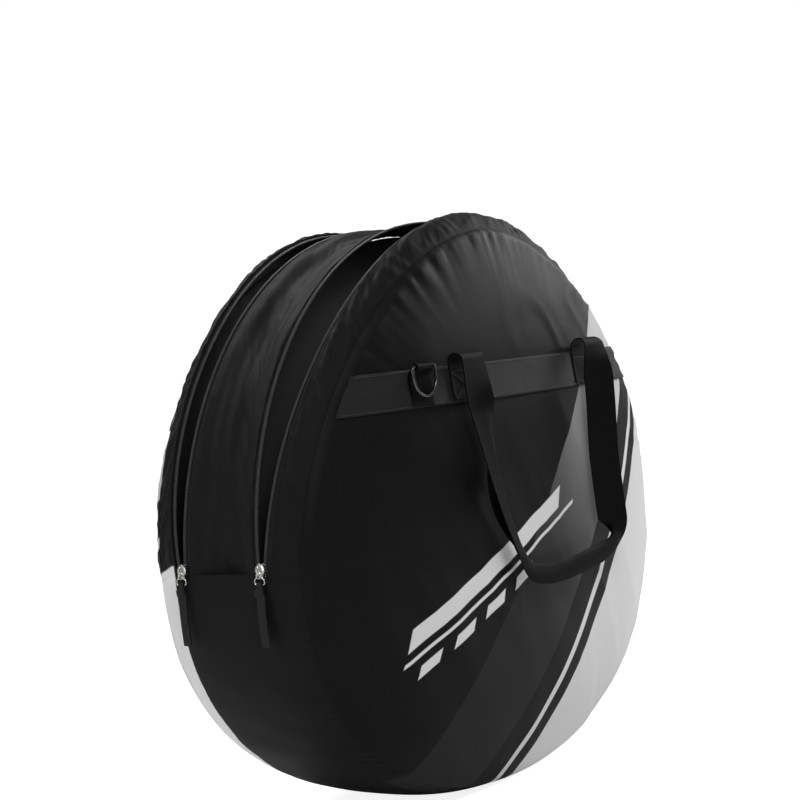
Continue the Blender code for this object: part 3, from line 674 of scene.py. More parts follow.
def gusset_strip(label, side, seed):
    """The flap's gathered strip, from the panel seam to a turned hem along the zip tape."""
    def place(u, v):
        angle = pi * (1 - u)
        seam, control, coil, inward, outward = strip_line(angle, side)
        end = coil + inward * (COIL_RADIUS + TAPE_WIDTH * HEM_SHARE)
        spot = seam * (1 - v) ** 2 + control * 2 * v * (1 - v) + end * v * v
        width = (end - seam).length
        gap = v * width
        wavy = 0.0030 * ripple(angle * 15.0 + v * 1.6, v * 2.2, seed) * max(sin(pi * v), 0.0) ** 0.7
        slant = ripple(angle * 24.0 + v * 2.6, v * 1.3, seed + 4, sharp=True)
        wavy += 0.0018 * slant * near_seam(gap)
        wavy = (wavy + pucker(angle, gap, seed) * 1.4) * ease(gap / 0.004) - 0.0018 * exp(-gap / 0.0025)
        calm = ease(sin(angle) / 0.10)
        edge_wave = 0.0010 * ripple(angle * 32.0, 5.0, seed + 7) * ease((v - 0.6) / 0.4)
        return spot + outward * ((wavy + edge_wave) * calm + hem_rise(width - gap) + 0.0004)

    item = grid(f"{label}_gathered_strip", STRIP_STEPS_ALONG, STRIP_STEPS_ACROSS, place, (1.05, 0.055))
    cloth(item, CLOTH_WALL, lining=True)
    return fold_blend(item, label, side, f"{label}_gusset_strip")


def zip_tape(label, side, outer, seed):
    """The tape beside one coil: on the flap it follows the strip's hem, on the centre strip it lies flat."""
    part = "outer" if outer else "inner"

    def place(u, v):
        angle = pi * (1 - u)
        if outer:
            coil, inward, outward = strip_line(angle, side)[2:]
            drift = 0.0005 * ripple(angle * 32.0, 5.0, seed + 7) * ease(sin(angle) / 0.10) * v
        else:
            coil, inward, outward = zip_edge(angle, side, False), Vector((0.0, -side, 0.0)), radial(angle)
            drift = 0.0
        return coil + inward * (0.0008 + (TAPE_WIDTH + 0.001) * v) + outward * (drift - 0.0010)

    item = grid(f"{label}_{part}_tape", TAPE_STEPS, 6, place, (1.05, 0.009))
    cloth(item, TAPE_WALL)
    if outer:
        return fold_blend(item, label, side, f"{label}_outer_zip_tape")
    return settle(item, "root", f"{label}_inner_zip_tape")


def coil_teeth(label, side, outer):
    """One half of the zip's coil: its turns are short bars across the line."""
    part = "outer" if outer else "inner"
    angles = [pi * (0.003 + 0.994 * i / TAPE_STEPS) for i in range(TAPE_STEPS + 1)]
    points = [zip_edge(angle, side, outer) for angle in angles]
    ups = [radial(zip_turn(angle)) for angle in angles]
    bar, faces = bar_sample(COIL_RINGS, 0.00165, 0.0023, 0.00105)
    tooth = [(c, a, b) for a, b, c in bar], faces
    item = repeat_along(f"{label}_{part}_coil", tooth, points, ups, COIL_PITCH)
    if outer:
        return fold_blend(item, label, side, f"{label}_outer_zip_coil")
    return settle(item, "root", f"{label}_inner_zip_coil")


def centre_strip(seed):
    """The strip between the zips, pulled in over the divider, with wavy hemmed edges."""
    def place(u, v):
        angle = pi * (1 - u)
        edge = zip_edge(angle, 1, False)
        turn = zip_turn(angle)
        share = 2 * v - 1
        half = edge.y - COIL_RADIUS - TAPE_WIDTH * HEM_SHARE
        calm = ease(sin(angle) / 0.08)
        wavy = 0.0040 * ripple(angle * 5.5 + share, share * 2.4, seed) * (1 - share * share) ** 0.5
        wavy += 0.0030 * ripple(angle * 3.2, share * 3.6 + angle, seed + 14) * (1 - share ** 4)
        wavy += 0.0010 * ripple(angle * 24.0 + share * 6.0, share * 1.2, seed + 4, sharp=True) * (1 - abs(share))
        wavy += 0.0008 * ripple(angle * 30.0, share, seed + 8) * abs(share) ** 3
        furrow = CENTRE_FURROW * (1 + cos(pi * share)) / 2
        radius = ZIP_RADIUS - furrow + wavy * calm + hem_rise((1 - abs(share)) * half)
        return Vector((radius * cos(turn), share * half, ZIP_CENTRE_HEIGHT + radius * sin(turn)))

    item = grid("centre_strip", STRIP_STEPS_ALONG, 40, place, (1.08, 0.06))
    cloth(item, CLOTH_WALL)
    return settle(item, "root", "centre_gusset")


def gusset_crown(y, edge):
    return GUSSET_CROWN * (1 - (abs(y) / edge) ** GUSSET_CROWN_POWER) - 0.001


def base_strip(label, side, seed):
    """Half of the strip under the wheels, from the bag's middle line to a face panel."""
    edge = EDGE_DEPTH - SEAM_INSET
    spread = 2 / PANEL_FOOT_POWER

    def place(u, v):
        angle = pi * (1 + u * (1 + 2 * BASE_TUCK) - BASE_TUCK)
        y = edge * v
        crown = gusset_crown(y, edge)
        gap = edge - y
        calm = ease((1 - abs(cos(angle)) ** 8) * 3)
        wavy = 0.0016 * ripple(angle * 9.0, y * 14.0, seed) * sin(pi * v)
        slant = ripple(angle * 26.0, y * 20.0, seed + 4, sharp=True)
        wavy += 0.0014 * slant * near_seam(gap)
        wavy *= ease((sin(angle) + 1) / 0.25) * calm
        x = (PANEL_HALF_WIDTH + crown + wavy) * signed_power(cos(angle), spread)
        z = FOLD_HEIGHT + (PANEL_FOOT_DROP + crown + wavy) * signed_power(sin(angle), spread)
        under = 0.0014 * ease((z - FOLD_HEIGHT + 0.0008) / 0.0016)
        return Vector((x - copysign(under, x), side * y, max(z, 0.0011)))

    item = grid(f"{label}_base_strip", 460, 30, place, (1.15, 0.092))
    cloth(item, CLOTH_WALL, lining=True)
    return fold_blend(item, label, side, "bottom_gusset")


def divider_board(seed):
    """The padded board between the wheels: crowned foam in its lining, thin at its stitched rim."""
    inset = 0.0017
    radius = ZIP_RADIUS - CENTRE_FURROW - inset
    spread = 2 / PANEL_FOOT_POWER

    def outline(angle):
        if sin(angle) >= 0:
            turn = zip_turn(angle)
            return radius * cos(turn), ZIP_CENTRE_HEIGHT + radius * sin(turn)
        crown = GUSSET_CROWN - 0.001 - inset
        x = (PANEL_HALF_WIDTH + crown) * signed_power(cos(angle), spread)
        z = FOLD_HEIGHT + (PANEL_FOOT_DROP + crown) * signed_power(sin(angle), spread)
        return x, max(z, 0.0027)

    def place(u, v):
        angle = 2 * pi * u
        face = 1 if v < 0.5 else -1
        share = 1 - abs(2 * v - 1)
        x, z = outline(angle)
        gap = (1 - share) * radius
        half = 0.0026 * (1 - 0.75 * exp(-gap / 0.006)) + 0.0004 * ripple(x * share * 14, z * share * 14, seed)
        half = half * ease(gap / 0.001 + 0.15)
        return Vector((x * share, face * min(half, 0.0030), FOLD_HEIGHT + (z - FOLD_HEIGHT) * share))

    item = grid("divider_board", 240, 60, place)
    merge(item)
    planar_uv(item)
    outward(item)
    smooth(item, 60)
    return settle(item, "root", "divider")


# Webbing and metal

def face_lift(x, z, seed):
    """The face cloth's true depth at X and Z, creases and all."""
    share = edge_share(x, z)[0]
    rise = z - FOLD_HEIGHT
    power, reach = arch(rise >= 0)
    size = max(share, 0.001)
    angle = atan2(signed_power(rise / (reach * size), power / 2),
                  signed_power(x / (PANEL_HALF_WIDTH * size), power / 2))
    return panel_depth(x, z) + panel_relief(x, z, angle % (2 * pi), share, seed)


def band_length(z):
    rise = (abs(z - FOLD_HEIGHT) / PANEL_TOP_RISE) ** PANEL_ARCH_POWER
    return PANEL_HALF_WIDTH * (1 - rise) ** (1 / PANEL_ARCH_POWER) * BAND_END_SHARE


def band_lift(x, z, seed):
    return face_lift(x, z, seed) + SKIN_GAP + WEBBING_WALL


def sewn_lift(x, z, seed):
    """The band's outer face, which what is sewn on it follows no further than its top."""
    return band_lift(x, min(z, SEWN_TOP), seed)


def band_sway(x, seed):
    return 0.0006 * ripple(x * 9.0, 3.0, seed + 20)


def face_band(label, side):
    seed = FACE_SEED[label]

    def place(u, v):
        z = BAND_HEIGHT + WEBBING_WIDTH * (v - 0.5)
        x = band_length(z) * (2 * u - 1)
        selvedge = 0.0004 * exp(-min(v, 1 - v) * WEBBING_WIDTH / 0.0015)
        depth = face_lift(x, z, seed) + SKIN_GAP + 0.0006 - selvedge
        return Vector((x, side * depth, z + band_sway(x, seed)))

    item = grid(f"{label}_band", 420, 24, place, (0.58, WEBBING_WIDTH))
    face_out(item)
    thicken(item, 0.0012, offset=1.0)
    smooth(item, 50)
    return settle(item, f"{label}_flap", f"{label}_webbing_band")


def stitches(name, points, side, label, pitch=STITCH_PITCH, width=0.0009):
    sample = bar_sample(STITCH_RINGS, pitch * 0.72, width, width * 0.8)
    item = repeat_along(name, sample, points, [(0.0, side, 0.0)] * len(points), pitch)
    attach(item, f"{label}_flap")
    return item


def band_stitches(label, side):
    seed = FACE_SEED[label]
    made = []
    for number, offset in enumerate((-0.5, 0.5)):
        z = BAND_HEIGHT + (WEBBING_WIDTH - 0.0045) * offset
        points = []
        for i in range(161):
            x = (band_length(z) - 0.004) * (2 * i / 160 - 1)
            lift = face_lift(x, z, seed) + SKIN_GAP + 0.0019
            points.append(Vector((x, side * lift, z + band_sway(x, seed))))
        made.append(stitches(f"{label}_band_seam_{number}", points, side, label))
    return made


def pivot_depth():
    depth = 0.0
    for end in (-1, 1):
        middle = HANDLE_SHIFT + end * HANDLE_HALF_SPAN
        x = min(max(0.0, middle - WEBBING_WIDTH / 2), middle + WEBBING_WIDTH / 2)
        depth = max(depth, panel_depth(x, BAND_HEIGHT - WEBBING_WIDTH / 2) + SKIN_GAP + WEBBING_WALL)
    return depth + SKIN_GAP + WEBBING_WALL + RUN_GAP + HANDLE_ROLL_RADIUS


def smooth_path(points, steps):
    ends = [points[0] * 2 - points[1]] + list(points) + [points[-1] * 2 - points[-2]]
    result = []
    for i in range(1, len(ends) - 2):
        a, b, c, d = ends[i - 1:i + 3]
        for k in range(steps):
            t = k / steps
            result.append((b * 2 + (c - a) * t + (a * 2 - b * 5 + c * 4 - d) * t * t
                           + (b * 3 - a - c * 3 + d) * t ** 3) / 2)
    result.append(points[-1])
    return result


def even_path(points, count):
    """The same line in equal steps, and its length."""
    spots, lengths = distances(points)
    wanted = np.linspace(0.0, lengths[-1], count)
    return [Vector(tuple(np.interp(s, lengths, spots[:, k]) for k in range(3))) for s in wanted], lengths[-1]


def arc(a, b, radius, start, end, steps):
    """Points on a circle about (a, b), from one angle in degrees to another."""
    turns = [radians(start + (end - start) * k / steps) for k in range(steps + 1)]
    return [(a + radius * cos(turn), b + radius * sin(turn)) for turn in turns]


def hanging_depth():
    return pivot_depth() + HANDLE_ROLL_RADIUS - HANDLE_FACE_CUT


def handle_line(side, seed):
    """The webbing's middle line: left sewn end, roll, leg, grip, leg, roll, right sewn end."""
    depth, top = hanging_depth(), BAND_HEIGHT + HANDLE_PIVOT_RISE
    loop = []
    for across, down in HANDLE_PATH:
        sag = HANDLE_STAND_OFF * sin(pi / 2 * down)
        x = HANDLE_SHIFT + across * HANDLE_HALF_SPAN
        loop.append(Vector((x, side * (depth + sag), top - down * HANDLE_DROP)))
    loop = smooth_path(loop, 10)

    def sewn(end):
        x = HANDLE_SHIFT + end * HANDLE_HALF_SPAN
        line = []
        for k in range(9):
            z = SEWN_FOOT + (top - SEWN_FOOT) * k / 8
            line.append(Vector((x, side * (sewn_lift(x, z, seed) + 0.0010), z)))
        back, front = abs(line[-1].y), abs(loop[0].y)
        middle, bend = (back + front) / 2, (front - back) / 2
        for k in range(1, 12):
            turn = pi * k / 12
            rise = max(bend, 0.002) * sin(turn)
            line.append(Vector((x, side * (middle - bend * cos(turn)), top + rise)))
        return line

    return sewn(-1) + loop + sewn(1)[::-1]


def strap_frames(path, side):
    """The webbing's directions across its width and away from the bag, at each point of its middle line."""
    frames, guide = [], Vector((1.0, 0.0, 0.0))
    for i in range(len(path)):
        ahead = (path[min(i + 1, len(path) - 1)] - path[max(i - 1, 0)]).normalized()
        across = ahead.cross(Vector((0.0, side, 0.0)))
        if across.length > 0.5:
            across.normalize()
            guide = across if across.dot(guide) > 0 or i == 0 else -across
        across = (guide - ahead * guide.dot(ahead)).normalized()
        face = across.cross(ahead).normalized()
        frames.append((across, face if face.y * side > 0 else -face))
    return frames


def strap_section(s, w, side, seed):
    """Where a point across the webbing (w from -1 to 1) lies at a share s of its length.

    The right half curls over to lie on the left one where the hand holds it, and the legs twist a little.
    """
    half, (fold_in, folded, unfolding, fold_out) = WEBBING_WIDTH / 2, HANDLE_FOLD_SHARES
    start = clamp((s - fold_in) / (folded - fold_in))
    end = ease((fold_out - s) / (fold_out - unfolding))
    fold = start * end
    leg = ease((s - 0.082) / 0.06) * ease((0.918 - s) / 0.06)
    a, n = half * w, 0.0
    if w > 0:
        pinch = 1 - 0.55 * sin(pi * end) if s > 0.5 else 1.0
        bend, curl = max(fold * pi, 0.001), 0.16 + 0.50 * (1 - start)
        swept = min(w / curl, 1.0) * bend
        radius, rest = half * curl / bend, max(w - curl, 0.0) * half
        a = (radius * sin(swept) + rest * cos(bend)) * pinch
        n = (-radius * (1 - cos(swept)) - rest * sin(bend)) * pinch
    a += fold * half / 2 + 0.0085 * (1 - fold) * ease((s - 0.6) / 0.05) * ease((0.90 - s) / 0.16)
    a *= 1 - 0.22 * exp(-((s - unfolding + 0.01) / 0.022) ** 2)
    n += 0.0016 * (1 - fold) * leg * (w * w - 0.4) + 0.0010 * leg * ripple(s * 9.0, 1.0, seed + 30)
    n += 0.0020 * fold * sin(pi * (a / half + 0.5)) * ease((s - folded) / 0.03)
    turned = -26 * (1 - fold) if s > 0.5 else (10 - 30 * start) * ease((0.42 - s) / 0.08)
    turn = -side * leg * radians(turned)
    return a * cos(turn) - n * sin(turn), a * sin(turn) + n * cos(turn)


def handle_webbing(label, side):
    """One webbing from end to end, in three pieces: two sewn ends and the hanging strap."""
    seed = FACE_SEED[label]
    last = HANDLE_STEPS - 1
    path, total = even_path(handle_line(side, seed), HANDLE_STEPS)
    frames = strap_frames(path, side)
    front = hanging_depth()

    def place(i, v):
        across, outward = frames[i]
        across_off, face_off = strap_section(i / last, 2 * v - 1, side, seed)
        spot = path[i] + across * across_off + outward * face_off
        if i < HANDLE_SEWN_STEPS or i > last + 1 - HANDLE_SEWN_STEPS:
            slant = sewn_lift(spot.x, spot.z, seed) - sewn_lift(path[i].x, spot.z, seed)
            spot.y += side * slant * ease((front - abs(path[i].y)) / (front - abs(path[0].y)) * 1.25)
        return spot

    hanging = [i for i, spot in enumerate(path) if abs(spot.y) > front - 0.00015]
    made = []
    for part, low, high in (("left_end", 0, hanging[0] + 1), ("strap", hanging[0], hanging[-1]),
                            ("right_end", hanging[-1] - 1, last)):
        steps = high - low
        item = grid(f"{label}_handle_{part}", steps, 20, lambda u, v: place(round(low + u * steps), v),
                    (total * steps / last, WEBBING_WIDTH))
        woven_strap(item, 0.0013)
        if part == "strap":
            settle(item, f"{label}_handle", f"{label}_handle_strap")
        else:
            sewn = abs(path[low if low == 0 else high].y)
            side * (front - 0.0007)
            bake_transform(item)
            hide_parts(f"{label}_handle_anchor_{part[:-4]}")
        made.append(item)
    return made


def patch_stitches(label, side, end):
    """A box with a cross through it, sewn through webbing, patch and band."""
    seed = FACE_SEED[label]
    middle, name = HANDLE_SHIFT + end * HANDLE_HALF_SPAN, "left" if end < 0 else "right"
    low, high = BAND_HEIGHT - 0.0150, BAND_HEIGHT + 0.0130
    corners = ((-0.0165, low), (0.0165, low), (0.0165, high), (-0.0165, high))
    made = []
    for number, (first, last) in enumerate(((0, 1), (1, 2), (2, 3), (3, 0), (0, 2), (1, 3))):
        points = []
        for i in range(13):
            t = i / 12
            x, z = [a * (1 - t) + b * t for a, b in zip(corners[first], corners[last])]
            x += middle
            points.append(Vector((x, side * (sewn_lift(x, z, seed) + 0.0018), z)))
        made.append(stitches(f"{label}_{name}_box_{number}", points, side, label, 0.0030))
    return made


def ring_spot(side):
    x = min(max(0.0, RING_SHIFT - RING_HALF_WIDTH), RING_SHIFT + RING_HALF_WIDTH)
    foot = BAND_HEIGHT + RING_BAR_RISE - RING_HEIGHT
    depth = panel_depth(x, min(max(FOLD_HEIGHT, foot), BAND_HEIGHT)) + SKIN_GAP + WEBBING_WALL
    depth += SKIN_GAP + RING_TAB_WALL + RUN_GAP + RING_WIRE_RADIUS
    return Vector((RING_SHIFT, side * depth, BAND_HEIGHT + RING_BAR_RISE))


def d_ring(label, side):
    """A bent wire: straight bar, rounded corners and a bow."""
    spot = ring_spot(side)
    reach, drop, bend = 0.0202, 0.0304, 0.0032
    straight = drop * 0.3
    line = [(-reach + bend + 2 * (reach - bend) * k / 12, 0.0) for k in range(13)]
    line += arc(reach - bend, -bend, bend, 75, 0, 5)
    for k in range(1, 44):
        turn = -pi * k / 44
        line.append((reach * cos(turn), -straight + (drop - straight) * sin(turn)))
    line += arc(bend - reach, -bend, bend, 180, 105, 5)
    points = [spot + Vector((x, 0.0, z)) for x, z in line]
    item = tube(f"{label}_ring", points, RING_WIRE_RADIUS, sides=20, closed=True)
    return settle(item, f"{label}_ring", f"{label}_d_ring")


def ring_webbing(label, side):
    """A short webbing folded over the ring's bar, both layers sewn down below it."""
    seed = FACE_SEED[label]
    spot = ring_spot(side)
    depth = abs(spot.y)
    line = []
    for k in range(8):
        z = SEWN_FOOT + (spot.z - SEWN_FOOT) * k / 8
        line.append((sewn_lift(RING_SHIFT, z, seed) + 0.0008, z))
    line += arc(depth, spot.z, 0.0030, 180, -42, 12)
    for k in range(1, 9):
        z = spot.z - 0.0045 - 0.024 * k / 8
        line.append((sewn_lift(RING_SHIFT, z, seed) + 0.0024, z))
    path, total = even_path([Vector((0.0, side * a, b)) for a, b in line], 60)

    def place(u, v):
        x = RING_SHIFT + RING_TAB_WIDTH * (v - 0.5)
        here = path[round(u * 59)]
        tilt = band_lift(x, BAND_HEIGHT, seed) - band_lift(RING_SHIFT, BAND_HEIGHT, seed)
        low = ease((spot.z - 0.004 - here.z) / 0.01)
        return Vector((x, here.y + side * tilt * low, here.z))

    item = grid(f"{label}_ring_webbing", 59, 12, place, (total, RING_TAB_WIDTH))
    woven_strap(item, 0.0012)
    return settle(item, f"{label}_flap", f"{label}_d_ring_tab")


def hub_patch(label, side, inner):
    """A stiff round patch with a raised rim and a dished middle."""
    rings = ((1.0, 0.0), (0.985, 0.0008), (0.93, 0.0010), (0.90, 0.0006), (0.42, 0.0006), (0.38, 0.0009),
             (0.30, 0.0009), (0.27, 0.0004), (0.0, 0.0004))
    facing = side if inner else -side

    def place(u, v):
        at = v * (len(rings) - 1)
        i = min(int(at), len(rings) - 2)
        t = at - i
        share, rise = [a * (1 - t) + b * t for a, b in zip(rings[i], rings[i + 1])]
        x = -facing * HUB_GUARD_RADIUS * share * cos(2 * pi * u)
        z = HUB_HEIGHT + HUB_GUARD_RADIUS * share * sin(2 * pi * u)
        if inner:
            return Vector((x, side * (0.0034 + rise), z))
        return Vector((x, side * (face_lift(x, z, FACE_SEED[label]) - PANEL_WALL - 0.0003 - rise), z))

    part = "divider" if inner else "flap"
    item = grid(f"{label}_{part}_hub_patch", 72, (len(rings) - 1) * 3, place)
    merge(item)
    planar_uv(item)
    smooth(item)
    if inner:
        return settle(item, "root", f"{label}_divider_hub_guard")
    return settle(item, f"{label}_flap", f"{label}_panel_hub_guard")


def slider_turn():
    return asin((SLIDER_HEIGHT - ZIP_CENTRE_HEIGHT) / ZIP_RADIUS)


def on_slider(item):
    """Sets a piece that is built at the zip's own angle at its place on the coil."""
    turn = slider_turn()
    item.data.transform(Matrix.Translation((0.0, 0.0, ZIP_CENTRE_HEIGHT)) @ Matrix.Rotation(turn, 4, "Y"))
    item.data.update()


def slider(label, side):
    """Two bevelled spade plates with turned-in flanges, a wedge between them and an arched bridge."""
    half, neck, length = SLIDER_WIDTH / 2, SLIDER_NECK_WIDTH / 2, SLIDER_LENGTH
    right = [(0.0, 0.500), (half * 0.22, 0.486), (half * 0.44, 0.440), (half * 0.64, 0.37), (half * 0.82, 0.28),
             (half * 0.94, 0.18), (half, 0.08), (half * 0.99, 0.00), (half * 0.93, -0.08), (half * 0.81, -0.16),
             (half * 0.67, -0.24), (neck, -0.31), (neck, -0.43), (neck * 0.88, -0.485), (neck * 0.55, -0.50)]
    outline = [(a, b * length) for a, b in right]
    outline += [(-a, b) for a, b in reversed(outline[1:])]
    middle = side * ZIP_DEPTH
    shape = [(middle + a, b) for a, b in outline]
    near, inner = ZIP_RADIUS + SLIDER_SLOT / 2, ZIP_RADIUS - SLIDER_SLOT / 2
    parts = [prism("plate", shape, -near - SLIDER_PLATE, -near, 0.0004),
             prism("plate", shape, -inner, -inner + SLIDER_PLATE, 0.0004)]
    wall, edge = 0.0007, outline[4:14]
    for sign in (-1, 1):
        rim = [(middle + sign * (a - 0.0001), b) for a, b in edge]
        rim += [(middle + sign * (a - wall), b) for a, b in reversed(edge)]
        parts.append(prism("flange", rim, -near - 0.0002, -near + wall, 0.0001))
        parts.append(prism("flange", rim, -inner - wall, -inner + 0.0002, 0.0001))
    post = [(middle + a * 0.0009, length * 0.22 + b) for a, b in
            ((-1, -0.0022), (0, -0.0038), (1, -0.0022), (1.2, 0.0014), (0.6, 0.0027), (-0.6, 0.0027), (-1.2, 0.0014))]
    parts.append(prism("wedge", post, -near - 0.0004, -inner + 0.0004))
    bow = []
    for i in range(25):
        turn = pi * i / 24
        rise = (BRIDGE_RISE + SLIDER_PLATE / 2) * sin(turn) ** 0.6
        bow.append(Vector((-near - SLIDER_PLATE / 2 - rise, middle, BRIDGE_LENGTH / 2 * cos(turn))))
    parts.append(tube("bridge", bow, 0.0008, sides=14))
    item = join(f"{label}_slider", parts)
    on_slider(item)
    return settle(item, f"{label}_slider", f"{label}_zip_slider")


def pull_spot(side):
    out = ZIP_RADIUS + SLIDER_SLOT / 2 + SLIDER_PLATE + RUN_GAP + PULL_WIRE_RADIUS
    along = -BRIDGE_LENGTH * 0.25
    turn = slider_turn()
    return Vector((-out * cos(turn) + along * sin(turn), side * ZIP_DEPTH,
                   ZIP_CENTRE_HEIGHT + out * sin(turn) + along * cos(turn)))


def pull_wire(label, side):
    spot = pull_spot(side)
    half, neck, length = PULL_HALF_WIDTH, PULL_NECK_HALF_WIDTH, PULL_LENGTH - 2 * PULL_WIRE_RADIUS
    waist = -PULL_NECK_LENGTH
    right = [(0.0, 0.0), (neck - 0.0012, 0.0), (neck - 0.0004, -0.0004), (neck, -0.0013), (neck, waist + 0.0006),
             (neck + 0.0004, waist - 0.0004), (half - 0.0006, waist - 0.0019), (half, waist - 0.0030)]
    right += arc(half - PULL_BEND, PULL_BEND - length, PULL_BEND, 0, -90, 8)
    outline = right + [(-y, z) for y, z in reversed(right[1:])]
    line = [spot + Vector((0.0, y, z)) for y, z in outline]
    bar = [spot + Vector((0.0, sign * (neck + 0.0009), waist - 0.0009)) for sign in (-1, 1)]
    up = (1.0, 0.0, 0.0)
    item = join(f"{label}_pull_wire", [tube("loop", line, PULL_WIRE_RADIUS, sides=12, closed=True, up=up),
                                       tube("cross_bar", bar, 0.0006, sides=12, up=up)])
    return settle(item, f"{label}_pull", f"{label}_pull_ring")


def tag_ribbon(label, side):
    """A ribbon looped round the pull wire, gathered to a knot and hanging as a doubled tag."""
    spot = pull_spot(side) - Vector((0.0, 0.0, PULL_LENGTH - 2 * PULL_WIRE_RADIUS))
    knot_end, ply = 0.008, 0.0004
    line = [(-ply, -TAG_LENGTH + (TAG_LENGTH - knot_end) * k / 15) for k in range(16)]
    line += arc(0.0, 0.0, 0.0018, 235, -55, 12)
    line += [(ply, -knot_end - (TAG_LENGTH - knot_end) * k / 15) for k in range(16)]
    path, total = even_path([Vector((a, 0.0, b)) for a, b in line], 110)

    def place(u, v):
        here = path[round(u * 109)]
        wide = 0.0030 + (TAG_WIDTH / 2 - 0.0030) * ease((-here.z - 0.006) / 0.006)
        knot = exp(-((here.z + 0.0055) / 0.0020) ** 2)
        bulge = copysign(0.0008 * knot * (1 - (2 * v - 1) ** 2), here.x)
        sway = 0.0012 * sin(here.z * 55.0)
        return spot + Vector((here.x + bulge + sway * ease(-here.z / 0.03), (2 * v - 1) * wide, here.z))

    ribbon = grid(f"{label}_ribbon", 109, 12, place, (total, TAG_WIDTH))
    woven_strap(ribbon, 0.0007)
    lean = radians(-16)
    outline = [(-0.0056, -0.0036), (0.0050, -0.0040), (0.0042, 0.0036), (-0.0046, 0.0036)]
    outline = [(spot.y + a * cos(lean) - b * sin(lean) + 0.0030,
                spot.z + a * sin(lean) + b * cos(lean) - 0.0078) for a, b in outline]
    knot = prism("knot", outline, spot.x - 0.0021, spot.x + 0.0021, 0.0013)
    planar_uv(knot, 1, 2)
    item = join(f"{label}_tag", [ribbon, knot])
    smooth(item, 50)
    return settle(item, f"{label}_tag", f"{label}_pull_tag")


# Materials

def principled(name, colour, roughness, metallic=0.0):
    material = bpy.data.materials.new(name)
    material.use_nodes = True
    shader = material.node_tree.nodes["Principled BSDF"]
    feed(shader.inputs["Base Color"], colour)
    feed(shader.inputs["Roughness"], roughness)
    feed(shader.inputs["Metallic"], metallic)
    return material, material.node_tree, shader


def mix(tree, factor, first, second):
    return node(tree, "Mix", {"Factor": factor, 6: first, 7: second}, data_type="RGBA").outputs[2]


def object_place(tree):
    return node(tree, "TexCoord").outputs["Object"]


def cloth_values(tree, weave, wear, pitch, scale):
    """The wear's tone, the yarns' tone (on ribbed webbing, painted shade in the grooves between rows), the cloth's
    height and the wear's lint.
    """
    place = node(tree, "UVMap").outputs["UV"]
    yarn_tone_and_rib_shade, height = values(node(tree, "Group", {"Vector": place, "Pitch": pitch}, node_tree=weave), "Yarn_Tone_And_Rib_Shade", "Height")
    tone, fine, lint = worn_values(tree, wear, scale)
    return tone, yarn_tone_and_rib_shade, height + fine * 0.3, lint


def worn_values(tree, wear, scale):
    worn = node(tree, "Group", {"Vector": object_place(tree), "Scale": scale}, node_tree=wear)
    return values(worn, "Tone", "Fine", "Lint")


def surface(shader, roughness, height, strength, distance, gloss=None):
    """Roughness, bump of a given strength and distance in metres, and gloss."""
    feed(shader.inputs["Roughness"], roughness)
    if gloss is not None:
        feed(shader.inputs["Specular IOR Level"], gloss)
    bump = node(shader.id_data, "Bump", {"Height": height, "Strength": strength, "Distance": distance})
    feed(shader.inputs["Normal"], bump.outputs[0])


def woven(name, dark, light, roughness, weave, wear, pitch=0.0009, strength=0.35, gloss=0.22):
    """Dark cloth: yarns with slight differences, broad tone changes and faint lint; on ribbed webbing the yarn
    differences are painted shade, darker in the grooves between rows.
    """
    material, tree, shader = principled(name, dark, roughness)
    tone, yarn_tone_and_rib_shade, height, lint = cloth_values(tree, weave, wear, pitch, 7.0)
    # The yarns' tone lightens the colour; with the rib group it is painted shade, darker in the grooves between rows.
    colour = mix(tree, tone.scaled(0.8, -0.15).math("ADD", yarn_tone_and_rib_shade * 0.5, clamp=True), dark, light)
    feed(shader.inputs["Base Color"], mix(tree, lint * 0.25, colour, (0.09, 0.09, 0.09)))
    surface(shader, tone.scaled(0.16, roughness - 0.08), height, strength, pitch * 0.35, gloss)
    return material


def plain(name, dark, light, roughness, wear, scale):
    """Smooth yarn or plastic: small tone changes, uneven roughness and a fine grain."""
    material, tree, shader = principled(name, dark, roughness)
    tone, fine = worn_values(tree, wear, scale)[:2]
    feed(shader.inputs["Base Color"], mix(tree, tone, dark, light))
    surface(shader, tone.scaled(0.2, roughness - 0.1), fine, 0.2, 0.00008, 0.4)
    return material


def metal(name, colour, roughness, wear):
    material, tree, shader = principled(name, colour, roughness, 1.0)
    tone, fine = worn_values(tree, wear, 90.0)[:2]
    surface(shader, tone.scaled(0.14, roughness - 0.05), fine, 0.03, 0.00003)
    return material


def along_line(x, z, degrees):
    slope = radians(degrees)
    return x * cos(slope) + z * sin(slope)


def between(along, low, high, blur=PRINT_BLUR):
    """1 from low to high, 0 elsewhere, with soft edges."""
    return (along - low).clamped(1 / blur) * (high - along).clamped(1 / blur)


def print_masks(tree, side, face):
    """A plain print of straight areas: near white, and on the face also fading grey, a pinstripe and bars."""
    x, y, z = values(node(tree, "SeparateXYZ", {0: object_place(tree)}), 0, 1, 2)
    x = x * float(-side)
    slide = 0.0 if side < 0 else 0.087
    main = along_line(x, z, -42) - slide
    greyed = between(main, -0.190, -0.082)
    fade = between(along_line(x, z, 32) - slide, 0.06, 0.9, 0.36).math("POWER", 2.4)
    pin = between(main, -0.050, -0.040)
    white = between(main, -0.022, 0.9)
    if not face:
        near = (abs(y) - PRINT_EDGE).clamped(1 / PRINT_BLUR)
        return near * (greyed if side < 0 else 0.0), fade, 0.0, near * white
    for low, width, start, stop in (*PRINT_BARS, PRINT_DASHES):
        stripe = between(along_line(x, z, 112), low, low + width)
        ends = between(along_line(x, z, -20), start, stop)
        if width == PRINT_DASHES[1]:
            step = ((along_line(x, z, -20) - start) / PRINT_DASH).math("FRACT")
            ends = ends * (0.62 - step).clamped(40.0)
        pin = pin.math("MAXIMUM", stripe * ends)
    return greyed, fade, pin, white


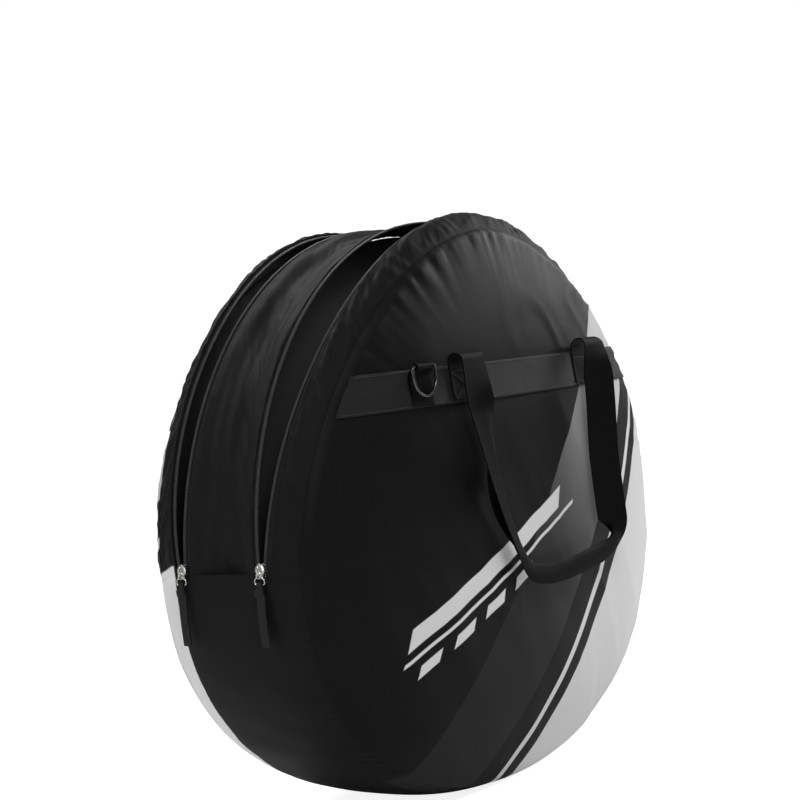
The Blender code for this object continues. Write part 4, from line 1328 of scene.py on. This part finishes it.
def printed_cloth(name, side, weave, wear, roughness, gloss, face=True):
    """Face or gusset cloth with the print."""
    material, tree, shader = principled(name, grey(0.010, 0.011), 0.6)
    tone, yarn_tone_and_rib_shade, height = cloth_values(tree, weave, wear, 0.0007, 6.0)[:3]
    greyed, fade, pin, white = print_masks(tree, side, face)
    rough = tone.scaled(0.18, roughness - 0.09)
    tone = tone.scaled(0.9, -0.2).math("ADD", yarn_tone_and_rib_shade * 0.4, clamp=True)
    black = mix(tree, tone, grey(0.0036, 0.0040), grey(0.010, 0.011))
    colour = mix(tree, greyed, black, mix(tree, fade, grey(0.022, 0.022), grey(0.72, 0.72)))
    light = mix(tree, tone, grey(0.84, 0.85), grey(0.93, 0.93))
    feed(shader.inputs["Base Color"], mix(tree, white, mix(tree, pin, colour, light), light))
    surface(shader, rough, height, 0.30, 0.00025, gloss)
    return material


def grey(level, blue):
    return level, level, blue


def make_finishes():
    weave, rib, wear = weave_group(), webbing_group(), wear_group()
    return {
        "front_face": printed_cloth("front_face_cloth", -1, weave, wear, 0.42, 0.09),
        "back_face": printed_cloth("back_face_cloth", 1, weave, wear, 0.42, 0.09),
        "front_strip": printed_cloth("front_strip_cloth", -1, weave, wear, 0.58, 0.12, face=False),
        "back_strip": printed_cloth("back_strip_cloth", 1, weave, wear, 0.58, 0.12, face=False),
        "cloth": woven("gusset_cloth", grey(0.0045, 0.005), grey(0.013, 0.014), 0.62, weave, wear, gloss=0.12),
        "lining": woven("lining_cloth", grey(0.020, 0.021), grey(0.035, 0.037), 0.75, weave, wear, 0.0006),
        "webbing": woven("webbing", grey(0.0022, 0.0025), grey(0.006, 0.0065), 0.6, rib, wear, 0.0011, 0.45, 0.07),
        "band": woven("band_webbing", grey(0.008, 0.0084), grey(0.023, 0.024), 0.55, rib, wear, 0.0012, 0.6, 0.16),
        "tape": woven("zip_tape", grey(0.006, 0.0065), grey(0.014, 0.015), 0.7, rib, wear, 0.0009, 0.4),
        "tag": woven("pull_ribbon", grey(0.006, 0.0065), grey(0.016, 0.017), 0.6, rib, wear, 0.0007, 0.4),
        "thread": plain("thread", grey(0.035, 0.036), grey(0.062, 0.064), 0.5, wear, 60.0),
        "coil": plain("coil_nylon", grey(0.050, 0.052), grey(0.095, 0.098), 0.38, wear, 60.0),
        "nickel": metal("nickel", (0.66, 0.655, 0.64), 0.17, wear),
        "steel": metal("dark_steel", grey(0.11, 0.115), 0.22, wear),
        "guard": plain("hub_patch_plastic", grey(0.010, 0.011), grey(0.018, 0.019), 0.45, wear, 25.0),
    }


# Camera, light and ground

def aim(item, target, roll=0.0):
    ahead = (Vector(target) - item.location).normalized()
    turn = ahead.to_track_quat("-Z", "Y").to_matrix()
    item.rotation_euler = (turn @ Matrix.Rotation(roll, 3, "Z")).to_euler()


def set_camera():
    data = bpy.data.cameras.new("camera")
    data.lens = CAMERA_LENS
    data.sensor_width = SENSOR_WIDTH
    data.dof.use_dof = False
    item = bpy.data.objects.new("camera", data)
    item.location = CAMERA_SPOT
    aim(item, CAMERA_AIM, CAMERA_ROLL)
    bpy.context.scene.collection.objects.link(item)
    bpy.context.scene.camera = item


def area_light(name, spot, target, size, power):
    data = bpy.data.lights.new(name, "AREA")
    data.shape = "RECTANGLE"
    data.size, data.size_y = size
    data.energy = power
    item = bpy.data.objects.new(name, data)
    item.location = spot
    aim(item, target)
    bpy.context.scene.collection.objects.link(item)


def set_ground():
    """A white floor, brighter to the camera, in a white room that lights little."""
    deselect()
    bpy.ops.mesh.primitive_plane_add(size=30.0, location=(0.0, 0.0, -0.0002))
    floor = bpy.context.object
    floor.name = "floor"
    material, tree, shader = principled("floor_white", (0.80, 0.80, 0.80), 0.9)
    seen, = values(node(tree, "LightPath"), "Is Camera Ray")
    for name, value in (("Emission Color", (1.0, 1.0, 1.0)), ("Specular IOR Level", 0.0),
                        ("Emission Strength", seen * 0.85)):
        feed(shader.inputs[name], value)
    floor.data.materials.append(material)
    world = bpy.data.worlds.new("white_room")
    bpy.context.scene.world = world
    world.use_nodes = True
    back = world.node_tree.nodes["Background"]
    seen, = values(node(world.node_tree, "LightPath"), "Is Camera Ray")
    feed(back.inputs["Color"], (1.0, 1.0, 1.0))
    feed(back.inputs["Strength"], seen.scaled(0.77, 0.28))


def set_lights():
    area_light("key", (-1.6, -2.2, 2.6), (0.0, -0.1, 0.35), (0.8, 0.8), 34)
    area_light("rim_right", (2.3, -0.55, 1.5), (0.1, -0.1, 0.35), (0.4, 1.2), 26)
    area_light("top", (0.2, 1.2, 2.3), (0.0, 0.0, 0.5), (2.0, 0.6), 34)
    area_light("left", (-2.6, 1.0, 0.9), (-0.2, 0.0, 0.4), (0.5, 1.4), 9)
    bpy.context.scene.view_settings.view_transform = "Standard"


def wear_finish(item, slot, *materials):
    """Gives a piece its materials: the second is for the inside of lined cloth. The slot is not used."""
    item.data.materials.clear()
    for material in materials:
        item.data.materials.append(material)
    lined = LINED.get(item.name, 0)
    for face in item.data.polygons[lined:2 * lined]:
        face.material_index = 1


def build_side(label, side, finish):
    seed = FACE_SEED[label]
    panel = face_panel(label, side, seed)
    wear_finish(panel, "panel_cloth", finish[f"{label}_face"], finish["lining"])
    for strip, flat, node_name in ((gusset_strip(label, side, seed + 1), GATHERED_FLAT, f"{label}_upper_panel"),
                                   (base_strip(label, side, seed + 2), BASE_FLAT, f"{label}_lower_panel")):
        wear_finish(strip, "bag_cloth", finish[f"{label}_strip"], finish["lining"])
    stitched = band_stitches(label, side) + patch_stitches(label, side, -1) + patch_stitches(label, side, 1)
    for slot, look, items in (
            ("zip_tape", "tape", [zip_tape(label, side, outer, seed + 1) for outer in (True, False)]),
            ("zip_coil", "coil", [coil_teeth(label, side, outer) for outer in (True, False)]),
            ("webbing", "band", [face_band(label, side)]),
            ("webbing", "thread", stitched),
            ("webbing", "webbing", handle_webbing(label, side) + [ring_webbing(label, side)]),
            ("dark_steel", "steel", [d_ring(label, side)]),
            ("hub_guard", "guard", [hub_patch(label, side, inner) for inner in (True, False)]),
            ("nickel", "nickel", [slider(label, side), pull_wire(label, side)]),
            ("pull_tag", "tag", [tag_ribbon(label, side)])):
        for item in items:
            wear_finish(item, slot, finish[look])


set_camera()
set_ground()
set_lights()
finishes = make_finishes()
middle_strip = centre_strip(CENTRE_SEED)
wear_finish(middle_strip, "bag_cloth", finishes["cloth"])
wear_finish(divider_board(DIVIDER_SEED), "lining", finishes["lining"])
for side_name, side_sign in SIDES:
    build_side(side_name, side_sign, finishes)
